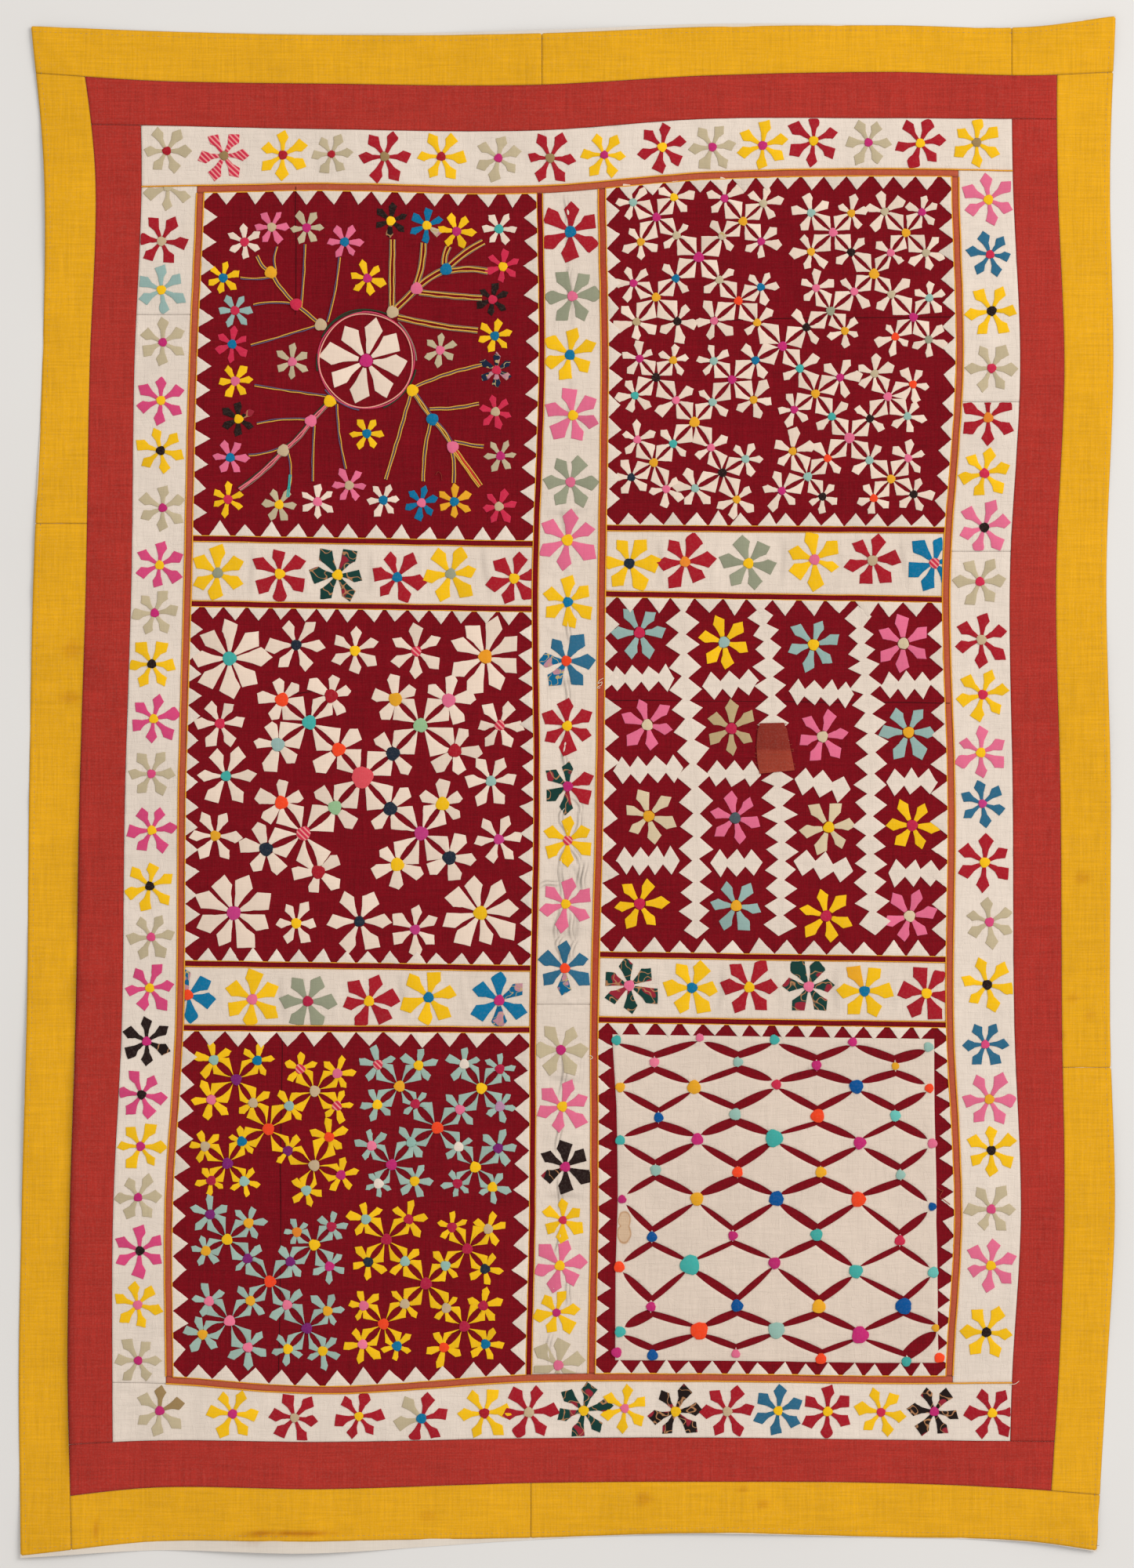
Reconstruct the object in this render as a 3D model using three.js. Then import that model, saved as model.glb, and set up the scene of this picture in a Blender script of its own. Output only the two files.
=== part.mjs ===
// An applique quilt lying flat, face up: a plain backing, pieced borders, strips and panels, cut overlays.
// Millimetres, +X to the right of the face, +Y to its upper edge, +Z up. The backing lies on z = 0.
import * as THREE from "three";

// Cloth, from the surface up
const BACKING = 1.2;
const TOP = 1.2;
const OVERLAY = 1.0;
const MEND = 0.8;
const LAYER_GAP = 0.3;
const SEAM_GAP = 0.3;
const TOP_LEVEL = BACKING + LAYER_GAP;
const OVERLAY_LEVEL = TOP_LEVEL + TOP + LAYER_GAP;
const MEND_LEVEL = OVERLAY_LEVEL + OVERLAY + LAYER_GAP;

// Narrow strips that edge the panels
const RUST_STRIP = 10;
const MAROON_STRIP = 8;

// Seams that run up the quilt: distance right of the middle at each height above the middle
const HEIGHTS = [-1050, -810, -580, -320, -20, 280, 570, 830, 1050];
const UP_SEAMS = {
  leftEdge: [-745, -748, -744, -737, -734, -728, -716, -713, -732],
  leftYellow: [-675, -681, -678, -670, -665, -656, -651, -643, -668],
  leftRed: [-618, -620, -619, -607, -603, -594, -590, -580, -587],
  leftWhite: [-546, -547, -548, -533, -530, -522, -515, -504, -500],
  middleLeft: [-49, -48, -43, -42, -37, -39, -30, -33, -34],
  middleRight: [29, 29, 33, 33, 40, 43, 47, 43, 43],
  rightWhite: [525, 527, 539, 528, 530, 523, 541, 535, 535],
  rightRed: [602, 608, 620, 611, 609, 605, 619, 609, 607],
  rightYellow: [655, 671, 679, 676, 674, 668, 679, 670, 669],
  rightEdge: [723, 737, 748, 742, 743, 737, 746, 742, 749],
};

// Seams that run across the quilt: height above the middle at each place right of the middle
const PLACES = [-750, -560, -330, -50, 190, 440, 630, 750];
const ACROSS_SEAMS = {
  bottomEdge: [-1050, -1031, -1030, -1026, -1019, -1025, -1030, -1047],
  bottomYellow: [-977, -957, -959, -951, -949, -951, -959, -969],
  bottomRed: [-903, -893, -895, -890, -889, -892, -894, -894],
  bottomWhite: [-815, -815, -829, -813, -812, -815, -814, -814],
  topWhite: [816, 818, 822, 818, 837, 842, 839, 839],
  topRed: [904, 901, 896, 894, 910, 911, 910, 910],
  topYellow: [974, 962, 958, 956, 969, 974, 969, 974],
  topEdge: [1037, 1030, 1025, 1026, 1036, 1038, 1035, 1050],
};

// How far the backing shows past the face along its lower and upper edges, at the same places
const BACKING_BELOW = [3, 12, 16, 3, 1, 1, 1, 1];
const BACKING_ABOVE = [0.5, 0.5, 2, 4, 4, 0.5, 0.5, 0.5];

// Flower strips across the field: heights of their upper and lower edges at the outer and inner ends
const FIELD_LEFT = [-530, -40];
const FIELD_RIGHT = [45, 530];
const CROSS_STRIPS = {
  leftUpper: { ends: FIELD_LEFT, upper: [334, 326], lower: [253, 245] },
  leftLower: { ends: FIELD_LEFT, upper: [-246, -253], lower: [-326, -329] },
  rightUpper: { ends: FIELD_RIGHT, upper: [348, 345], lower: [266, 258] },
  rightLower: { ends: FIELD_RIGHT, upper: [-234, -241], lower: [-315, -322] },
};

// Low ripples of the outer borders: where along their side, half their length, and how high they stand
const RIPPLE_REACH = 125;
const RIPPLES = [
  { side: "top", at: -690, spread: 150, rise: 4 },
  { side: "top", at: -30, spread: 190, rise: 5 },
  { side: "top", at: 690, spread: 170, rise: 7 },
  { side: "bottom", at: -700, spread: 150, rise: 6 },
  { side: "bottom", at: -390, spread: 190, rise: 8 },
  { side: "bottom", at: 240, spread: 230, rise: 4 },
  { side: "bottom", at: 680, spread: 160, rise: 6 },
  { side: "left", at: 800, spread: 210, rise: 4 },
  { side: "left", at: 330, spread: 210, rise: 3 },
  { side: "left", at: -420, spread: 250, rise: 5 },
  { side: "right", at: 570, spread: 230, rise: 4 },
  { side: "right", at: 90, spread: 200, rise: 3 },
  { side: "right", at: -560, spread: 250, rise: 5 },
];

// Places and heights of the facet lines between the seams, joins of the borders among them
const FACET_PLACES = [-430, -300, -170, 160, 290, 420];
const YELLOW_LEFT_JOIN = 358;
const YELLOW_RIGHT_JOIN = -384;
const WHITE_LEFT_JOIN = 643;
const WHITE_RIGHT_JOINS = [320, 524];
const MIDDLE_JOIN = -298;
const FACET_HEIGHTS = [
  -750, -690, -630, -570, -510, -450, YELLOW_RIGHT_JOIN, -340, MIDDLE_JOIN, -260, -220, -160, -100, -40,
  20, 80, 140, 190, 230, 260, 290, WHITE_RIGHT_JOINS[0], YELLOW_LEFT_JOIN, 400, 440, 480,
  WHITE_RIGHT_JOINS[1], 580, WHITE_LEFT_JOIN, 700, 760,
];
const FACET_LEAST = 12;

// Saw-toothed frames: teeth across and up each panel, and how far the teeth reach in
const TOOTH_BAND = 2.5;
const TEETH = {
  stems: { across: 13, up: 14, depth: 19 },
  clusters: { across: 15, up: 14, depth: 18 },
  blooms: { across: 15, up: 16, depth: 18 },
  windows: { across: 13, up: 13, depth: 21 },
  colours: { across: 13, up: 13, depth: 21 },
  trellis: { across: 15, up: 16, depth: 14 },
};

// Trellis cloth: margins to its panel, then distances of its knots from its own upper left corner
const TRELLIS_MARGIN = { left: 22, right: 17, bottom: 18, top: 15.5 };
const KNOT_ROWS = [6, 37, 68, 109, 142, 185, 224, 273, 312, 369, 403, 435];
const KNOTS_FULL_ROW = [7, 112, 219, 331, 432];
const KNOTS_SHORT_ROW = [53, 167, 277, 387];
const KNOT_SWAY = 2.5;
const SLIT_HALF_WIDTH = 4.8;
const SLIT_START = 0.13;
const SLIT_STEPS = 4;

// Chains of diamonds down the window panel: distance from its left side at the upper and lower ends
const CHAINS = [
  { upper: 106, lower: 127, rests: 22 },
  { upper: 216, lower: 242, rests: 24 },
  { upper: 350, lower: 370, rests: 24 },
];
const CHAIN_DIAMONDS = 14;
const DIAMOND_HALF_WIDTH = 20;
const WAIST_HALF_WIDTH = 5.7;
const CHAIN_DROP = 21.5;

// Mending patch: its corners from the lower left corner of the window panel
const MEND_CORNERS = [[209, 241], [261, 243], [248, 311], [214, 311]];

// Colours of the cloths
const IVORY = 0xe9e2d8;
const YELLOW = 0xe4aa1c;
const RED = 0xb8342e;
const RUST = 0xb8543a;
const MAROON = 0x800e20;
const MEND_BROWN = 0x8a3427;

// A smooth curve through the values at the stations, level past both ends
function curve(stations, values) {
  const last = stations.length - 1;
  const slope = (i) => {
    const before = Math.max(i - 1, 0);
    const after = Math.min(i + 1, last);
    return (values[after] - values[before]) / (stations[after] - stations[before]);
  };
  return (place) => {
    const at = THREE.MathUtils.clamp(place, stations[0], stations[last]);
    let i = 0;
    while (i < last - 1 && at > stations[i + 1]) {
      i += 1;
    }
    const span = stations[i + 1] - stations[i];
    const part = (at - stations[i]) / span;
    const rise = values[i + 1] - values[i];
    const leaving = slope(i) * span - rise;
    const arriving = rise - slope(i + 1) * span;
    return values[i] + rise * part + part * (1 - part) * (leaving * (1 - part) + arriving * part);
  };
}

function shifted(line, distance) {
  return (place) => line(place) + distance;
}

function halfway(a, b) {
  return (place) => (a(place) + b(place)) / 2;
}

function level(value) {
  return () => value;
}

const up = {};
for (const [name, values] of Object.entries(UP_SEAMS)) {
  up[name] = curve(HEIGHTS, values);
}
const across = {};
for (const [name, values] of Object.entries(ACROSS_SEAMS)) {
  across[name] = curve(PLACES, values);
}

// Height of the cloth above the surface: the field lies flat and the borders ripple
function bell(distance) {
  return Math.abs(distance) < 1 ? 0.5 + 0.5 * Math.cos(Math.PI * distance) : 0;
}

function lift(x, y) {
  const inward = {
    left: x - up.leftEdge(y),
    right: up.rightEdge(y) - x,
    bottom: y - across.bottomEdge(x),
    top: across.topEdge(x) - y,
  };
  let height = 0;
  for (const { side, at, spread, rise } of RIPPLES) {
    const along = side === "left" || side === "right" ? y : x;
    height += rise * bell((along - at) / spread) * bell(inward[side] / RIPPLE_REACH);
  }
  return height;
}

// Lines of the facets in order, from left to right and from bottom to top
const columns = new Map([
  ["leftEdge", up.leftEdge],
  ["leftHem", halfway(up.leftEdge, up.leftYellow)],
  ["leftYellow", up.leftYellow],
  ["leftRed", up.leftRed],
  ["leftWhite", up.leftWhite],
  ...FACET_PLACES.filter((x) => x < 0).map((x) => [x, level(x)]),
  ["middleLeft", up.middleLeft],
  ["middleRight", up.middleRight],
  ...FACET_PLACES.filter((x) => x > 0).map((x) => [x, level(x)]),
  ["rightWhite", up.rightWhite],
  ["rightRed", up.rightRed],
  ["rightYellow", up.rightYellow],
  ["rightHem", halfway(up.rightYellow, up.rightEdge)],
  ["rightEdge", up.rightEdge],
]);
const rows = new Map([
  ["bottomEdge", across.bottomEdge],
  ["bottomHem", halfway(across.bottomEdge, across.bottomYellow)],
  ["bottomYellow", across.bottomYellow],
  ["bottomRed", across.bottomRed],
  ["bottomWhite", across.bottomWhite],
  ...FACET_HEIGHTS.map((y) => [y, level(y)]),
  ["topWhite", across.topWhite],
  ["topRed", across.topRed],
  ["topYellow", across.topYellow],
  ["topHem", halfway(across.topYellow, across.topEdge)],
  ["topEdge", across.topEdge],
]);

function between(lines, first, last) {
  const names = [...lines.keys()];
  const kept = names.slice(names.indexOf(first), names.indexOf(last) + 1);
  return kept.map((name) => lines.get(name));
}

// Two lines and the facet lines that lie well between them
function faceted(first, last, stops) {
  const inside = stops.filter((stop) => stop > first(stop) + FACET_LEAST && stop < last(stop) - FACET_LEAST);
  return [first, ...inside.map(level), last];
}

function crossing(column, row) {
  let x = 0;
  let y = 0;
  for (let step = 0; step < 8; step += 1) {
    y = row(x);
    x = column(y);
  }
  return [x, y];
}

// The lines of one piece, drawn in at both ends by half a seam gap
function drawnIn(lines) {
  const inner = [...lines];
  inner[0] = shifted(lines[0], SEAM_GAP / 2);
  inner[lines.length - 1] = shifted(lines[lines.length - 1], -SEAM_GAP / 2);
  return inner;
}

function solidOf(positions, faces) {
  const geometry = new THREE.BufferGeometry();
  geometry.setAttribute("position", new THREE.Float32BufferAttribute(positions, 3));
  geometry.setIndex(faces);
  geometry.computeVertexNormals();
  return geometry;
}

// A closed sheet of cloth over the crossings of its lines
function sheet(columnLines, rowLines, bottom, thickness) {
  const wide = columnLines.length;
  const tall = rowLines.length;
  const positions = [];
  for (const height of [bottom, bottom + thickness]) {
    for (const row of rowLines) {
      for (const column of columnLines) {
        const [x, y] = crossing(column, row);
        positions.push(x, y, lift(x, y) + height);
      }
    }
  }
  const low = (i, j) => j * wide + i;
  const high = (i, j) => wide * tall + low(i, j);
  const faces = [];
  const quad = (a, b, c, d) => faces.push(a, b, c, a, c, d);
  for (let j = 0; j < tall - 1; j += 1) {
    for (let i = 0; i < wide - 1; i += 1) {
      quad(high(i, j), high(i + 1, j), high(i + 1, j + 1), high(i, j + 1));
      faces.push(low(i, j), low(i + 1, j + 1), low(i + 1, j));
      faces.push(low(i, j), low(i, j + 1), low(i + 1, j + 1));
    }
  }
  const rim = [];
  for (let i = 0; i < wide - 1; i += 1) {
    rim.push([i, 0]);
  }
  for (let j = 0; j < tall - 1; j += 1) {
    rim.push([wide - 1, j]);
  }
  for (let i = wide - 1; i > 0; i -= 1) {
    rim.push([i, tall - 1]);
  }
  for (let j = tall - 1; j > 0; j -= 1) {
    rim.push([0, j]);
  }
  rim.forEach((here, k) => {
    const next = rim[(k + 1) % rim.length];
    quad(low(...here), low(...next), high(...next), high(...here));
  });
  return solidOf(positions, faces);
}

const quilt = new THREE.Group();

function add(name, geometry, color) {
  const material = new THREE.MeshStandardMaterial({ color, roughness: 0.9, metalness: 0 });
  const mesh = new THREE.Mesh(geometry, material);
  mesh.name = name;
  quilt.add(mesh);
}

function addPiece(name, columnLines, rowLines, color) {
  add(name, sheet(drawnIn(columnLines), drawnIn(rowLines), TOP_LEVEL, TOP), color);
}

// A border length between two named columns and two named rows
function addLength(name, left, right, bottom, top, color) {
  addPiece(name, between(columns, left, right), between(rows, bottom, top), color);
}

function addBacking() {
  const columnLines = between(columns, "leftEdge", "rightEdge");
  const rowLines = between(rows, "bottomEdge", "topEdge");
  const below = curve(PLACES, BACKING_BELOW);
  const above = curve(PLACES, BACKING_ABOVE);
  rowLines[0] = (x) => across.bottomEdge(x) - below(x);
  rowLines[rowLines.length - 1] = (x) => across.topEdge(x) + above(x);
  add("backing", sheet(columnLines, rowLines, 0, BACKING), IVORY);
}

function addYellowBorder() {
  addLength("yellow_top_1", "leftEdge", "middleLeft", "topYellow", "topEdge", YELLOW);
  addLength("yellow_top_2", "middleLeft", "rightRed", "topYellow", "topEdge", YELLOW);
  addLength("yellow_top_3", "rightRed", "rightEdge", "topYellow", "topEdge", YELLOW);
  addLength("yellow_left_1", "leftEdge", "leftYellow", YELLOW_LEFT_JOIN, "topYellow", YELLOW);
  addLength("yellow_left_2", "leftEdge", "leftYellow", "bottomEdge", YELLOW_LEFT_JOIN, YELLOW);
  addLength("yellow_right_1", "rightYellow", "rightEdge", YELLOW_RIGHT_JOIN, "topYellow", YELLOW);
  addLength("yellow_right_2", "rightYellow", "rightEdge", "bottomYellow", YELLOW_RIGHT_JOIN, YELLOW);
  addLength("yellow_bottom_1", "leftYellow", "middleLeft", "bottomEdge", "bottomYellow", YELLOW);
  addLength("yellow_bottom_2", "middleLeft", "rightEdge", "bottomEdge", "bottomYellow", YELLOW);
}

function addRedBorder() {
  addLength("red_top", "leftYellow", "rightYellow", "topRed", "topYellow", RED);
  addLength("red_bottom", "leftYellow", "rightYellow", "bottomYellow", "bottomRed", RED);
  addLength("red_left", "leftYellow", "leftRed", "bottomRed", "topRed", RED);
  addLength("red_right", "rightRed", "rightYellow", "bottomRed", "topRed", RED);
}

function addFlowerBorder() {
  const [lowerJoin, upperJoin] = WHITE_RIGHT_JOINS;
  addLength("white_top", "leftRed", "rightRed", "topWhite", "topRed", IVORY);
  addLength("white_bottom", "leftRed", "rightRed", "bottomRed", "bottomWhite", IVORY);
  addLength("white_left_1", "leftRed", "leftWhite", WHITE_LEFT_JOIN, "topWhite", IVORY);
  addLength("white_left_2", "leftRed", "leftWhite", "bottomWhite", WHITE_LEFT_JOIN, IVORY);
  addLength("white_right_1", "rightWhite", "rightRed", upperJoin, "topWhite", IVORY);
  addLength("white_right_2", "rightWhite", "rightRed", lowerJoin, upperJoin, IVORY);
  addLength("white_right_3", "rightWhite", "rightRed", "bottomWhite", lowerJoin, IVORY);
}

// The field inside the rust frame
const fieldTop = shifted(across.topWhite, -RUST_STRIP);
const fieldBottom = shifted(across.bottomWhite, RUST_STRIP);
const fieldRows = [fieldBottom, ...between(rows, FACET_HEIGHTS[0], FACET_HEIGHTS.at(-1)), fieldTop];
const frameColumns = between(columns, "leftWhite", "rightWhite");

function addNarrowStrips() {
  addPiece("rust_top", frameColumns, [fieldTop, across.topWhite], RUST);
  addPiece("rust_bottom", frameColumns, [across.bottomWhite, fieldBottom], RUST);
  addPiece("rust_left", [up.leftWhite, shifted(up.leftWhite, RUST_STRIP)], fieldRows, RUST);
  addPiece("rust_right", [shifted(up.rightWhite, -RUST_STRIP), up.rightWhite], fieldRows, RUST);
  addPiece("rust_middle", [up.middleRight, shifted(up.middleRight, RUST_STRIP)], fieldRows, RUST);
  addPiece("maroon_middle", [shifted(up.middleLeft, -MAROON_STRIP), up.middleLeft], fieldRows, MAROON);
}

function addMiddleStrip() {
  const middle = [up.middleLeft, up.middleRight];
  const joinAt = FACET_HEIGHTS.indexOf(MIDDLE_JOIN) + 1;
  addPiece("middle_1", middle, fieldRows.slice(joinAt), IVORY);
  addPiece("middle_2", middle, fieldRows.slice(0, joinAt + 1), IVORY);
}

// Each half of the field: its sides, and the edges of its cross strips
const halves = {
  left: [shifted(up.leftWhite, RUST_STRIP), shifted(up.middleLeft, -MAROON_STRIP)],
  right: [shifted(up.middleRight, RUST_STRIP), shifted(up.rightWhite, -RUST_STRIP)],
};
const strips = {};
for (const [name, { ends, upper, lower }] of Object.entries(CROSS_STRIPS)) {
  strips[name] = { upper: curve(ends, upper), lower: curve(ends, lower) };
}

function addCrossStrip(name, half, { upper, lower }) {
  const sides = faceted(...halves[half], FACET_PLACES);
  addPiece(`cross_${name}`, sides, faceted(lower, upper, FACET_HEIGHTS), IVORY);
  addPiece(`maroon_${name}_above`, sides, [upper, shifted(upper, MAROON_STRIP)], MAROON);
  addPiece(`maroon_${name}_below`, sides, [shifted(lower, -MAROON_STRIP), lower], MAROON);
}

function addCrossStrips() {
  addCrossStrip("left_upper", "left", strips.leftUpper);
  addCrossStrip("left_lower", "left", strips.leftLower);
  addCrossStrip("right_upper", "right", strips.rightUpper);
  addCrossStrip("right_lower", "right", strips.rightLower);
}

// A panel: the four lines round it, and a place on it given in millimetres from its lower left corner
function panel(half, bottom, top) {
  const [left, right] = halves[half].map((line, i) => shifted(line, (i ? -SEAM_GAP : SEAM_GAP) / 2));
  const lower = shifted(bottom, SEAM_GAP / 2);
  const upper = shifted(top, -SEAM_GAP / 2);
  const [x0, y0] = crossing(halfway(left, right), halfway(lower, upper));
  const width = right(y0) - left(y0);
  const height = upper(x0) - lower(x0);
  const place = (x, y) => {
    const column = (at) => left(at) + (right(at) - left(at)) * (x / width);
    const row = (at) => lower(at) + (upper(at) - lower(at)) * (y / height);
    return crossing(column, row);
  };
  return { left, right, lower, upper, width, height, place };
}

const above = (strip) => shifted(strip.upper, MAROON_STRIP);
const below = (strip) => shifted(strip.lower, -MAROON_STRIP);
const panels = {
  stems: panel("left", above(strips.leftUpper), fieldTop),
  clusters: panel("right", above(strips.rightUpper), fieldTop),
  blooms: panel("left", above(strips.leftLower), below(strips.leftUpper)),
  windows: panel("right", above(strips.rightLower), below(strips.rightUpper)),
  colours: panel("left", fieldBottom, below(strips.leftLower)),
  trellis: panel("right", fieldBottom, below(strips.rightLower)),
};

function addPanels() {
  for (const [name, { left, right, lower, upper }] of Object.entries(panels)) {
    const sides = faceted(left, right, FACET_PLACES);
    const ends = faceted(lower, upper, FACET_HEIGHTS);
    add(`panel_${name}`, sheet(sides, ends, TOP_LEVEL, TOP), MAROON);
  }
}

// A flat shape drawn in a panel's own millimetres, cut from cloth and laid on that panel
function overlay({ place }, shape, bottom, thickness) {
  const geometry = new THREE.ExtrudeGeometry(shape, { depth: thickness, bevelEnabled: false });
  const position = geometry.getAttribute("position");
  for (let i = 0; i < position.count; i += 1) {
    const [x, y] = place(position.getX(i), position.getY(i));
    position.setXYZ(i, x, y, bottom + position.getZ(i));
  }
  geometry.computeVertexNormals();
  return geometry;
}

function shapeOf(points) {
  return new THREE.Shape(points.map(([x, y]) => new THREE.Vector2(x, y)));
}

function holeOf(points) {
  return new THREE.Path(points.map(([x, y]) => new THREE.Vector2(x, y)));
}

// The four sides of a panel in turn: where each starts, which way it runs and which way is in
function sidesOf({ width, height }, teeth) {
  return [
    { start: [0, 0], along: [1, 0], inward: [0, 1], length: width, count: teeth.across },
    { start: [width, 0], along: [0, 1], inward: [-1, 0], length: height, count: teeth.up },
    { start: [width, height], along: [-1, 0], inward: [0, -1], length: width, count: teeth.across },
    { start: [0, height], along: [0, -1], inward: [1, 0], length: height, count: teeth.up },
  ];
}

// A frame between the panel's outline and a zigzag, with one tooth on each length of the outline
function sawToothFrame(part, teeth) {
  const outline = [];
  const zigzag = [];
  for (const { start, along, inward, length, count } of sidesOf(part, teeth)) {
    const at = (run, depth) => [0, 1].map((k) => start[k] + along[k] * run + inward[k] * depth);
    const run = length - 2 * TOOTH_BAND;
    for (let i = 0; i < count; i += 1) {
      outline.push(at((length * i) / count, 0));
      zigzag.push(at(TOOTH_BAND + (run * i) / count, TOOTH_BAND));
      zigzag.push(at(TOOTH_BAND + (run * (i + 0.5)) / count, teeth.depth));
    }
  }
  const points = [...outline, ...zigzag].map(([x, y]) => part.place(x, y));
  const levels = [OVERLAY_LEVEL, OVERLAY_LEVEL + OVERLAY];
  const positions = levels.flatMap((z) => points.flatMap(([x, y]) => [x, y, z]));
  const count = outline.length;
  const outer = (k) => k % count;
  const valley = (k) => count + 2 * (k % count);
  const tip = (k) => valley(k) + 1;
  const faces = [];
  const face = (a, b, c) => {
    faces.push(a + points.length, b + points.length, c + points.length);
    faces.push(c, b, a);
  };
  const wall = (a, b) => {
    faces.push(a, b, b + points.length);
    faces.push(a, b + points.length, a + points.length);
  };
  for (let k = 0; k < count; k += 1) {
    face(outer(k), outer(k + 1), tip(k));
    face(outer(k), tip(k), valley(k));
    face(outer(k + 1), valley(k + 1), tip(k));
    wall(outer(k), outer(k + 1));
    wall(tip(k), valley(k));
    wall(valley(k + 1), tip(k));
  }
  return solidOf(positions, faces);
}

function addSawTeeth() {
  for (const [name, part] of Object.entries(panels)) {
    add(`teeth_${name}`, sawToothFrame(part, TEETH[name]), IVORY);
  }
}

// A slit pointed at both ends, on the way from one knot to the next
function slit([x0, y0], [x1, y1]) {
  const length = Math.hypot(x1 - x0, y1 - y0);
  const side = [-(y1 - y0) / length, (x1 - x0) / length];
  const at = (part, sign) => {
    const along = SLIT_START + (1 - 2 * SLIT_START) * part;
    const out = sign * SLIT_HALF_WIDTH * Math.sin(Math.PI * part);
    return [x0 + (x1 - x0) * along + side[0] * out, y0 + (y1 - y0) * along + side[1] * out];
  };
  const points = [];
  for (let i = 0; i < SLIT_STEPS; i += 1) {
    points.push(at(i / SLIT_STEPS, 1));
  }
  for (let i = SLIT_STEPS; i > 0; i -= 1) {
    points.push(at(i / SLIT_STEPS, -1));
  }
  return holeOf(points);
}

function addTrellisCloth() {
  const part = panels.trellis;
  const left = TRELLIS_MARGIN.left;
  const right = part.width - TRELLIS_MARGIN.right;
  const bottom = TRELLIS_MARGIN.bottom;
  const top = part.height - TRELLIS_MARGIN.top;
  const shape = shapeOf([[left, bottom], [right, bottom], [right, top], [left, top]]);
  const knots = KNOT_ROWS.map((down, row) => {
    const places = row % 2 ? KNOTS_SHORT_ROW : KNOTS_FULL_ROW;
    return places.map((x, i) => {
      const swayX = KNOT_SWAY * Math.sin(5 * row + 3 * i);
      const swayY = KNOT_SWAY * Math.cos(4 * row + 7 * i);
      return [left + x + swayX, top - down + swayY];
    });
  });
  for (let row = 0; row < knots.length - 1; row += 1) {
    const [full, short] = row % 2 ? [knots[row + 1], knots[row]] : [knots[row], knots[row + 1]];
    short.forEach((knot, i) => {
      shape.holes.push(slit(full[i], knot));
      shape.holes.push(slit(knot, full[i + 1]));
    });
  }
  add("trellis_cloth", overlay(part, shape, OVERLAY_LEVEL, OVERLAY), IVORY);
}

// A chain of diamonds cut from one strip, its waists joining each diamond to the next
function chainShape({ upper, lower, rests }, height) {
  const top = height - CHAIN_DROP;
  const steps = 2 * CHAIN_DIAMONDS;
  const edge = (sign) => {
    const points = [];
    for (let i = 0; i <= steps; i += 1) {
      const part = i / steps;
      const half = i % 2 ? DIAMOND_HALF_WIDTH : WAIST_HALF_WIDTH;
      points.push([lower + (upper - lower) * part + sign * half, rests + (top - rests) * part]);
    }
    return points;
  };
  return shapeOf([...edge(1), ...edge(-1).reverse()]);
}

function addWindowPieces() {
  const part = panels.windows;
  CHAINS.forEach((chain, i) => {
    const shape = chainShape(chain, part.height);
    add(`chain_${i + 1}`, overlay(part, shape, OVERLAY_LEVEL, OVERLAY), IVORY);
  });
  add("mend_patch", overlay(part, shapeOf(MEND_CORNERS), MEND_LEVEL, MEND), MEND_BROWN);
}

addBacking();
addYellowBorder();
addRedBorder();
addFlowerBorder();
addNarrowStrips();
addMiddleStrip();
addCrossStrips();
addPanels();
addSawTeeth();
addTrellisCloth();
addWindowPieces();

// The origin is under the middle of the whole quilt
const middle = new THREE.Box3().setFromObject(quilt).getCenter(new THREE.Vector3());
quilt.position.set(-middle.x, -middle.y, 0);

export default quilt;
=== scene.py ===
# The looks of an applique quilt that lies flat, face up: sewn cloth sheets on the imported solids, with
# flowers, piping, couched yarn and stitches. Sizes are millimetres on the face until a mesh is made in
# metres.
import math

import bpy
import numpy as np
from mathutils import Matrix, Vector
from mathutils.geometry import delaunay_2d_cdt


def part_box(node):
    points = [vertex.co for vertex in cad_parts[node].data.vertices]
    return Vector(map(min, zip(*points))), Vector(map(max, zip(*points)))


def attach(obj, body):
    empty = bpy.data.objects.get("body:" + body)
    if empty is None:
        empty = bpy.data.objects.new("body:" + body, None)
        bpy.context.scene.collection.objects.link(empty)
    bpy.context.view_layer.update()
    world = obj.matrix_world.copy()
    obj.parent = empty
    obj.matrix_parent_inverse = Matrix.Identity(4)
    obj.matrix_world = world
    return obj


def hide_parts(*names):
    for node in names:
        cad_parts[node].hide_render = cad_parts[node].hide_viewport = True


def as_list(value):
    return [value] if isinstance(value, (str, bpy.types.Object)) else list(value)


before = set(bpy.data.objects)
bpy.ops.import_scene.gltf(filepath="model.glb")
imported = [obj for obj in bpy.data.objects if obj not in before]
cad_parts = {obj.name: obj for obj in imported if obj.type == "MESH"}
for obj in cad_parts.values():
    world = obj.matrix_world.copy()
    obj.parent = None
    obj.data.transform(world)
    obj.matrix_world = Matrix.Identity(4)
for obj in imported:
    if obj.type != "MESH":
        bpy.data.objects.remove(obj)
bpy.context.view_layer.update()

MM = 0.001
RANDOM = np.random.default_rng(11)

# Cloth levels above the surface
BACKING_LEVEL = 0.6
TOP_LEVEL = 2.7
OVERLAY_RISE = 1.2
PETAL_RISE = 0.8
MIDDLE_RISE = 1.5
YARN_RISE = 0.8
THREAD_RISE = 1.6
MEND_RISE = 2.3

# Narrow strips that edge the panels
RUST_STRIP = 10
MAROON_STRIP = 8
SEAM_INSET = 0.15

# Edges of the cloth lengths: depth and width of the dip at a seam, of the fold at a hem and of the trough
# of the hem's stitches, how far in these are, and how much painted shade darkens every seam and hem edge
# over which width
SEAM_DIP = (0.8, 1.1)
HEM_DIP = (1.7, 1.5)
HEM_TROUGH = (0.5, 1.6)
HEM_INSET = 7.5
SEAM_PAINTED_SHADE = 0.3
IVORY_SEAM_PAINTED_SHADE = 0.14
SEAM_PAINTED_SHADE_WIDTH = 0.9
SEAM_COVER = 0.8

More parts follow.
